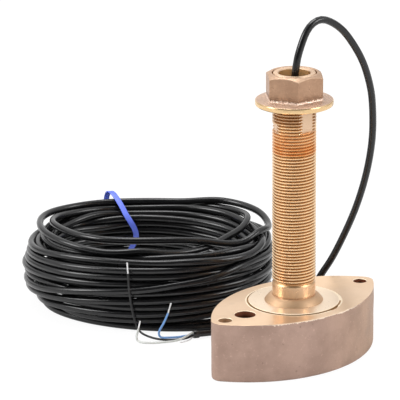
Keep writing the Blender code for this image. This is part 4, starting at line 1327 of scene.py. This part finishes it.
def make_thread(fade_in=0.9, fade_out=0.5):
    """The threaded tube above the neck, whose lowest rings match the neck's."""
    crest, root = STEM_RADIUS, STEM_RADIUS - THREAD_DEPTH
    neck = NECK_RADIUS - NECK_CHAMFER
    worn = crest - 0.3  # where the last ridge runs out at the top
    bore = STEM_BORE / 2
    top = STEM_TOP - 0.9
    stem_end = (
        (crest - 0.35, top + 0.45), (crest - 0.7, STEM_TOP), (bore + 0.5, STEM_TOP),
        (bore, STEM_TOP - 0.5), (bore, NECK_TOP),
    )
    rows = (math.ceil((top - NECK_TOP) / PITCH) + 1) * len(RIDGE)
    grid = []
    for k in range(ROUND):
        around = 2 * math.pi * k / ROUND
        column = []
        for row in range(rows + 1):
            share, depth = RIDGE[row % len(RIDGE)]
            height = NECK_TOP + PITCH * (row // len(RIDGE) + share + k / ROUND - 1)
            low_share = min(max((height - NECK_TOP) / (fade_in * PITCH), 0.0), 1.0)
            top_share = min(max((top - height) / (fade_out * PITCH), 0.0), 1.0)
            ridge = root + (crest - root) * depth
            radius = neck + (ridge - neck) * low_share
            radius = worn + (radius - worn) * top_share
            height = min(max(height, NECK_TOP), top)
            column.append(shave(radius * math.cos(around), radius * math.sin(around), height))
        column += [(r * math.cos(around), r * math.sin(around), height) for r, height in stem_end]
        grid.append(column)
    size = len(grid[0])
    verts = [Vector(corner) * MM for column in grid for corner in column]
    faces = []
    for k in range(ROUND):
        following = (k + 1) % ROUND
        for row in range(size - 1):
            a, b = k * size + row, k * size + row + 1
            if following:
                c, d = following * size + row + 1, following * size + row
            elif row < rows:
                # the helix has risen one pitch, so the last column meets the first one higher up
                c = min(row + 1 + len(RIDGE), rows)
                d = min(row + len(RIDGE), rows)
            else:
                c, d = row + 1, row
            faces.append((a, b, c, d))
    for row in range(len(RIDGE)):
        faces.append(((ROUND - 1) * size, row + 1, row))
    return mesh_object("thread_tube", verts, faces)


thread = make_thread()
print("thread faces:", len(thread.data.polygons))


# %% [markdown]
# The tube's lowest ring lies on the neck's, so the two meshes are welded there and become one
# closed casting. After the booleans nobody knows which face came from which tool, but a face's
# place and direction tell it: each question below is about one surface of the real part.


# %% Join the thread and choose the finishes
def clean(bm):
    bmesh.ops.remove_doubles(bm, verts=bm.verts, dist=2e-6)
    bmesh.ops.dissolve_degenerate(bm, edges=bm.edges, dist=1e-7)
    lone = [v for v in bm.verts if not v.link_faces]
    bmesh.ops.delete(bm, geom=lone, context="VERTS")


def on_flat(point):
    for turn, middle, height, depth in FLATS:
        turn = math.radians(turn)
        reach = point.x * math.cos(turn) + point.y * math.sin(turn)
        if abs(point.z - middle) < height / 2 and reach > STEM_RADIUS - depth - 0.03:
            return True
    return False


def finish_at(point, upward):
    """Which finish the housing has at a face, from its place in millimetres."""
    away = math.hypot(point.x, point.y)
    if upward > 0.9 and abs(point.z - PAD_TOP) < 0.02:
        return SPOT
    if upward > 0.9 and abs(point.z - BODY_TOP) < 0.02:
        return FACED
    # painted highlight on the narrow ring outside the groove
    if upward > 0.9 and abs(point.z - BODY_TOP + LIP_DEPTH) < 0.01:
        return EDGE
    in_hole = any(math.hypot(point.x - reach, point.y) < across / 2 + 0.5 for reach, across in HOLES)
    # painted highlight on the countersinks at the holes' rims
    if in_hole and 0.4 < upward < 0.9:
        return EDGE
    if in_hole and abs(upward) < 0.9:
        return PORT_HOLE if point.x < HOLES[0][0] + HOLES[0][1] / 2 + 0.5 else HOLE
    if point.z < BODY_TOP - MOAT_DEPTH - 0.1:
        in_bore = away < STEM_BORE / 2 + 0.3 and abs(upward) < 0.5
        return BORE if in_bore else CAST
    if on_flat(point):
        return FLAT
    if away < STEM_BORE / 2 + 0.3 and abs(upward) < 0.5:
        return BORE
    # the neck's upper chamfer takes the thread's finish, and with it the painted shade of the roots
    if away < STEM_BORE / 2 + 0.3 or (point.z > NECK_TOP - 0.9 and away < STEM_RADIUS + 0.1):
        return FLAT if point.z > STEM_TOP - 0.6 else THREAD
    if point.z > FOOT_LEVEL + 4.1 and away < STEM_RADIUS + 0.1:
        return NECK
    if point.z > PAD_TOP + 0.02:
        return FOOT
    pad = PAD_DIAMETER / 2
    # painted highlight on the pad's broken edge
    if abs(away - pad + 0.2) < 0.1:
        return EDGE
    # painted shade in the groove round the pad and in the bite beside it
    if pad - 0.05 < away < pad + 3.0 and point.z < BODY_TOP - 0.02:
        return MOAT
    if abs(away - pad) < 0.05:
        return MOAT
    return FACED if upward > 0.5 and point.z > BODY_TOP - 1.0 else CAST


def join_thread():
    """Opens the neck's top, sets the threaded tube on it and gives each face its finish."""
    bm = bmesh.new()
    bm.from_mesh(housing.data)
    level = NECK_TOP * MM
    lids = [f for f in bm.faces if all(abs(v.co.z - level) < 1e-6 for v in f.verts)]
    bmesh.ops.delete(bm, geom=lids, context="FACES")
    bm.from_mesh(thread.data)
    clean(bm)
    for face in bm.faces:
        face.material_index = finish_at(face.calc_center_median() / MM, face.normal.z)
    bmesh.ops.recalc_face_normals(bm, faces=bm.faces)
    open_edges = sum(1 for e in bm.edges if len(e.link_faces) != 2)
    bm.to_mesh(housing.data)
    bm.free()
    housing.data.shade_smooth()
    housing.data.set_sharp_from_angle(angle=math.radians(32))
    for face in housing.data.polygons:
        if len(face.vertices) > 12:
            face.use_smooth = False
    bpy.data.objects.remove(thread, do_unlink=True)
    print("housing faces:", len(housing.data.polygons), "edges without two faces:", open_edges)


join_thread()
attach(housing, "transducer")
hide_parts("housing")

# %% [markdown]
# ## The hull nut
#
# The nut is a casting with a machined rim: a hexagon, chamfered by turning, on a round flange
# with a crowned top. Every point of it can be given by an angle round the axis and a step along
# its outline, so the mesh is one closed sheet, and the hexagon's corners and the outline's
# corners are both rounded as a casting's are.

# %% Nut
NUT_HEIGHT = 19.6
NUT_FLATS = 30.8
NUT_TURN = math.radians(-5.0)
CHAMFER_DIAMETER, CHAMFER_SLOPE = 29.0, 0.577
FLANGE_DIAMETER = 45.2
NUT_BORE = STEM_DIAMETER + 0.3
SIDES = 6
STEPS_PER_SIDE = 30


# %% [markdown]
# The hexagon and the flange share one outline that changes with the angle. The angles crowd
# towards the corners, where the distance to the side changes fastest.


# %% The nut's outline
def side_angles():
    """Angles round the nut, with a few close together at each of the hexagon's corners."""
    half = math.pi / SIDES
    shares = [math.sin(math.pi / 2 * (2 * k / STEPS_PER_SIDE - 1)) for k in range(STEPS_PER_SIDE)]
    return [NUT_TURN + half * (2 * side + 1 + share) for side in range(SIDES) for share in shares]


def hexagon_reach(turn, soft=0.1):
    """Distance from the axis to the hexagon's side, with its corners just broken."""
    step = (turn - NUT_TURN) % (2 * math.pi / SIDES) - math.pi / SIDES
    flat = NUT_FLATS / 2
    corner = flat / math.cos(math.pi / SIDES)
    return min(flat / math.cos(step), corner - soft)


def rounded(profile, radius, steps=3):
    """The outline with its corners rounded, each by the same number of points."""
    points = []
    count = len(profile)
    for i in range(count):
        before, at, after = (Vector(profile[(i + k) % count]) for k in (-1, 0, 1))
        back, ahead = before - at, after - at
        reach = min(radius, back.length * 0.45, ahead.length * 0.45)
        start = at + back.normalized() * reach
        end = at + ahead.normalized() * reach
        for k in range(steps + 1):
            t = k / steps
            points.append((1 - t) ** 2 * start + 2 * t * (1 - t) * at + t * t * end)
    return points


def nut_outline(turn):
    """The nut's closed outline at one angle, as (radius, height) from the bore's foot outwards."""
    rim = FLANGE_DIAMETER / 2
    side = hexagon_reach(turn)
    chamfer = CHAMFER_DIAMETER / 2
    shoulder = NUT_HEIGHT - (side - chamfer) * CHAMFER_SLOPE
    bore = NUT_BORE / 2
    ring = 13.6  # the short ring below the flange
    return [
        (bore, -1.4), (ring, -1.4), (ring + 0.5, -0.2), (ring + 1.0, 0.0), (rim - 2.6, 0.0), (rim - 1.6, 0.2),
        (rim - 0.4, 0.7), (rim, 1.2), (rim, 3.4), (rim - 0.6, 3.95), (side + 1.0, 4.5),
        (side + 0.1, 5.1), (side - 0.15, 6.3), (side, 9.0), (side, shoulder),
        (chamfer + 0.3, NUT_HEIGHT - 0.2), (chamfer, NUT_HEIGHT + 0.05),
        (bore + 0.2, NUT_HEIGHT + 0.05), (bore, NUT_HEIGHT - 0.3),
    ]


def nut_rough(point):
    """The casting's unevenness, which is strongest where the hexagon meets the flange."""
    height = point.z - NUT_FOOT
    seam = math.exp(-(((height - 5.0) / 0.8) ** 2))
    coarse = noise.noise(point / 2.4) * 0.05
    fine = noise.noise(point / 0.55) * (0.02 + 0.34 * seam)
    return coarse + fine if 3.6 < height < 17.5 else 0.0


# %% [markdown]
# Every face of the sheet lies in a band of the outline, so the band's number tells which of the
# nut's finishes it takes.

# %% The nut's mesh
# bands of the outline that aren't the cast hexagon, with their places in NUT_FINISHES
RIM_BANDS = dict.fromkeys(range(0, 9), 1)  # the underside and the rim are turned
CROWN_BANDS = dict.fromkeys((9, 10), 2)  # the flange's upper side is cast, and paler than the hexagon
# the turned chamfer and top face take a darker copy of the rim's bronze: painted shade
TOP_BANDS = dict.fromkeys(range(14, 19), 3)  # the chamfer and the face at the top are turned too
BAND_FINISHES = {**RIM_BANDS, **CROWN_BANDS, **TOP_BANDS}


def make_nut(corner=0.3, steps=3):
    sections = []
    for turn in side_angles():
        c, s = math.cos(turn), math.sin(turn)
        section = []
        for r, z in rounded(nut_outline(turn), corner, steps):
            point = Vector((r * c, r * s, z + NUT_FOOT))
            section.append((point + Vector((c, s, 0.0)) * nut_rough(point)) * MM)
        sections.append(section)
    verts, faces = ring_strip(sections, close_along=True)
    piece = mesh_object("hull_nut_casting", verts, faces, *NUT_FINISHES, sharp=28.0)
    size = len(sections[0])
    for face in piece.data.polygons:
        band = (min(face.vertices, key=lambda v: v % size) % size) // (steps + 1)
        face.material_index = BAND_FINISHES.get(band, 0)
    return piece


nut = make_nut()
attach(nut, "nut")
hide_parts("hull_nut")
print("nut faces:", len(nut.data.polygons))

# %% [markdown]
# ## The pieces inside
#
# In the housing's pocket, a resin window covers the ceramic element. These pieces keep their CAD
# shapes, and each gets a finish of its own, in case a reader takes the part to pieces.


# %% Finishes of the inner pieces
def make_simple(name, light, dark, roughness, scale, metallic=0.0):
    """A finish with two close colours in clouds, and a light grain."""
    finish = Finish(name, Metallic=metallic)
    place = finish.place()
    clouds = finish.noise(place, scale, 4.0, 0.6)
    return finish.done(
        Base_Color=finish.mix(finish.span(clouds, 0.35, 0.65), dark, light),
        Roughness=finish.span(clouds, 0.3, 0.7, roughness - 0.06, roughness + 0.06),
        Normal=finish.bump(finish.noise(place, scale * 6, 3.0), 0.00005, 0.6),
    )


def dress(node_name, material):
    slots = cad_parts[node_name].data.materials
    slots.clear()
    slots.append(material)


# (light, dark, roughness, size of the clouds per metre, metallic)
INNER_FINISHES = {
    "acoustic_window": ((0.030, 0.029, 0.028), (0.018, 0.018, 0.018), 0.42, 120.0),
    "ceramic_disc": ((0.74, 0.72, 0.68), (0.60, 0.57, 0.52), 0.34, 80.0, 0.7),
    "isolation_sleeve": ((0.46, 0.30, 0.17), (0.24, 0.14, 0.08), 0.88, 700.0),
    "backing_pad": ((0.44, 0.28, 0.16), (0.22, 0.13, 0.07), 0.9, 700.0),
    "body_potting": ((0.032, 0.032, 0.034), (0.020, 0.020, 0.021), 0.36, 90.0),
    "stem_seal": ((0.030, 0.030, 0.032), (0.018, 0.018, 0.019), 0.36, 90.0),
    "temperature_sensor": ((0.30, 0.14, 0.07), (0.20, 0.09, 0.04), 0.26, 300.0),
    "solder_signal": ((0.80, 0.80, 0.81), (0.62, 0.62, 0.63), 0.3, 500.0, 1.0),
    "solder_return": ((0.80, 0.80, 0.81), (0.62, 0.62, 0.63), 0.3, 500.0, 1.0),
    "lead_signal": ((0.55, 0.06, 0.04), (0.42, 0.04, 0.03), 0.4, 300.0),
    "lead_return": ((0.26, 0.26, 0.27), (0.17, 0.17, 0.18), 0.4, 300.0),
    "sensor_lead_near": ((0.62, 0.50, 0.12), (0.48, 0.38, 0.08), 0.4, 300.0),
    "sensor_lead_far": ((0.10, 0.34, 0.13), (0.06, 0.24, 0.09), 0.4, 300.0),
}
for node_name, values in INNER_FINISHES.items():
    dress(node_name, make_simple(node_name + "_finish", *values))
dress("cable_in_stem", jacket_finish)
print("inner finishes:", len(INNER_FINISHES) + 1)
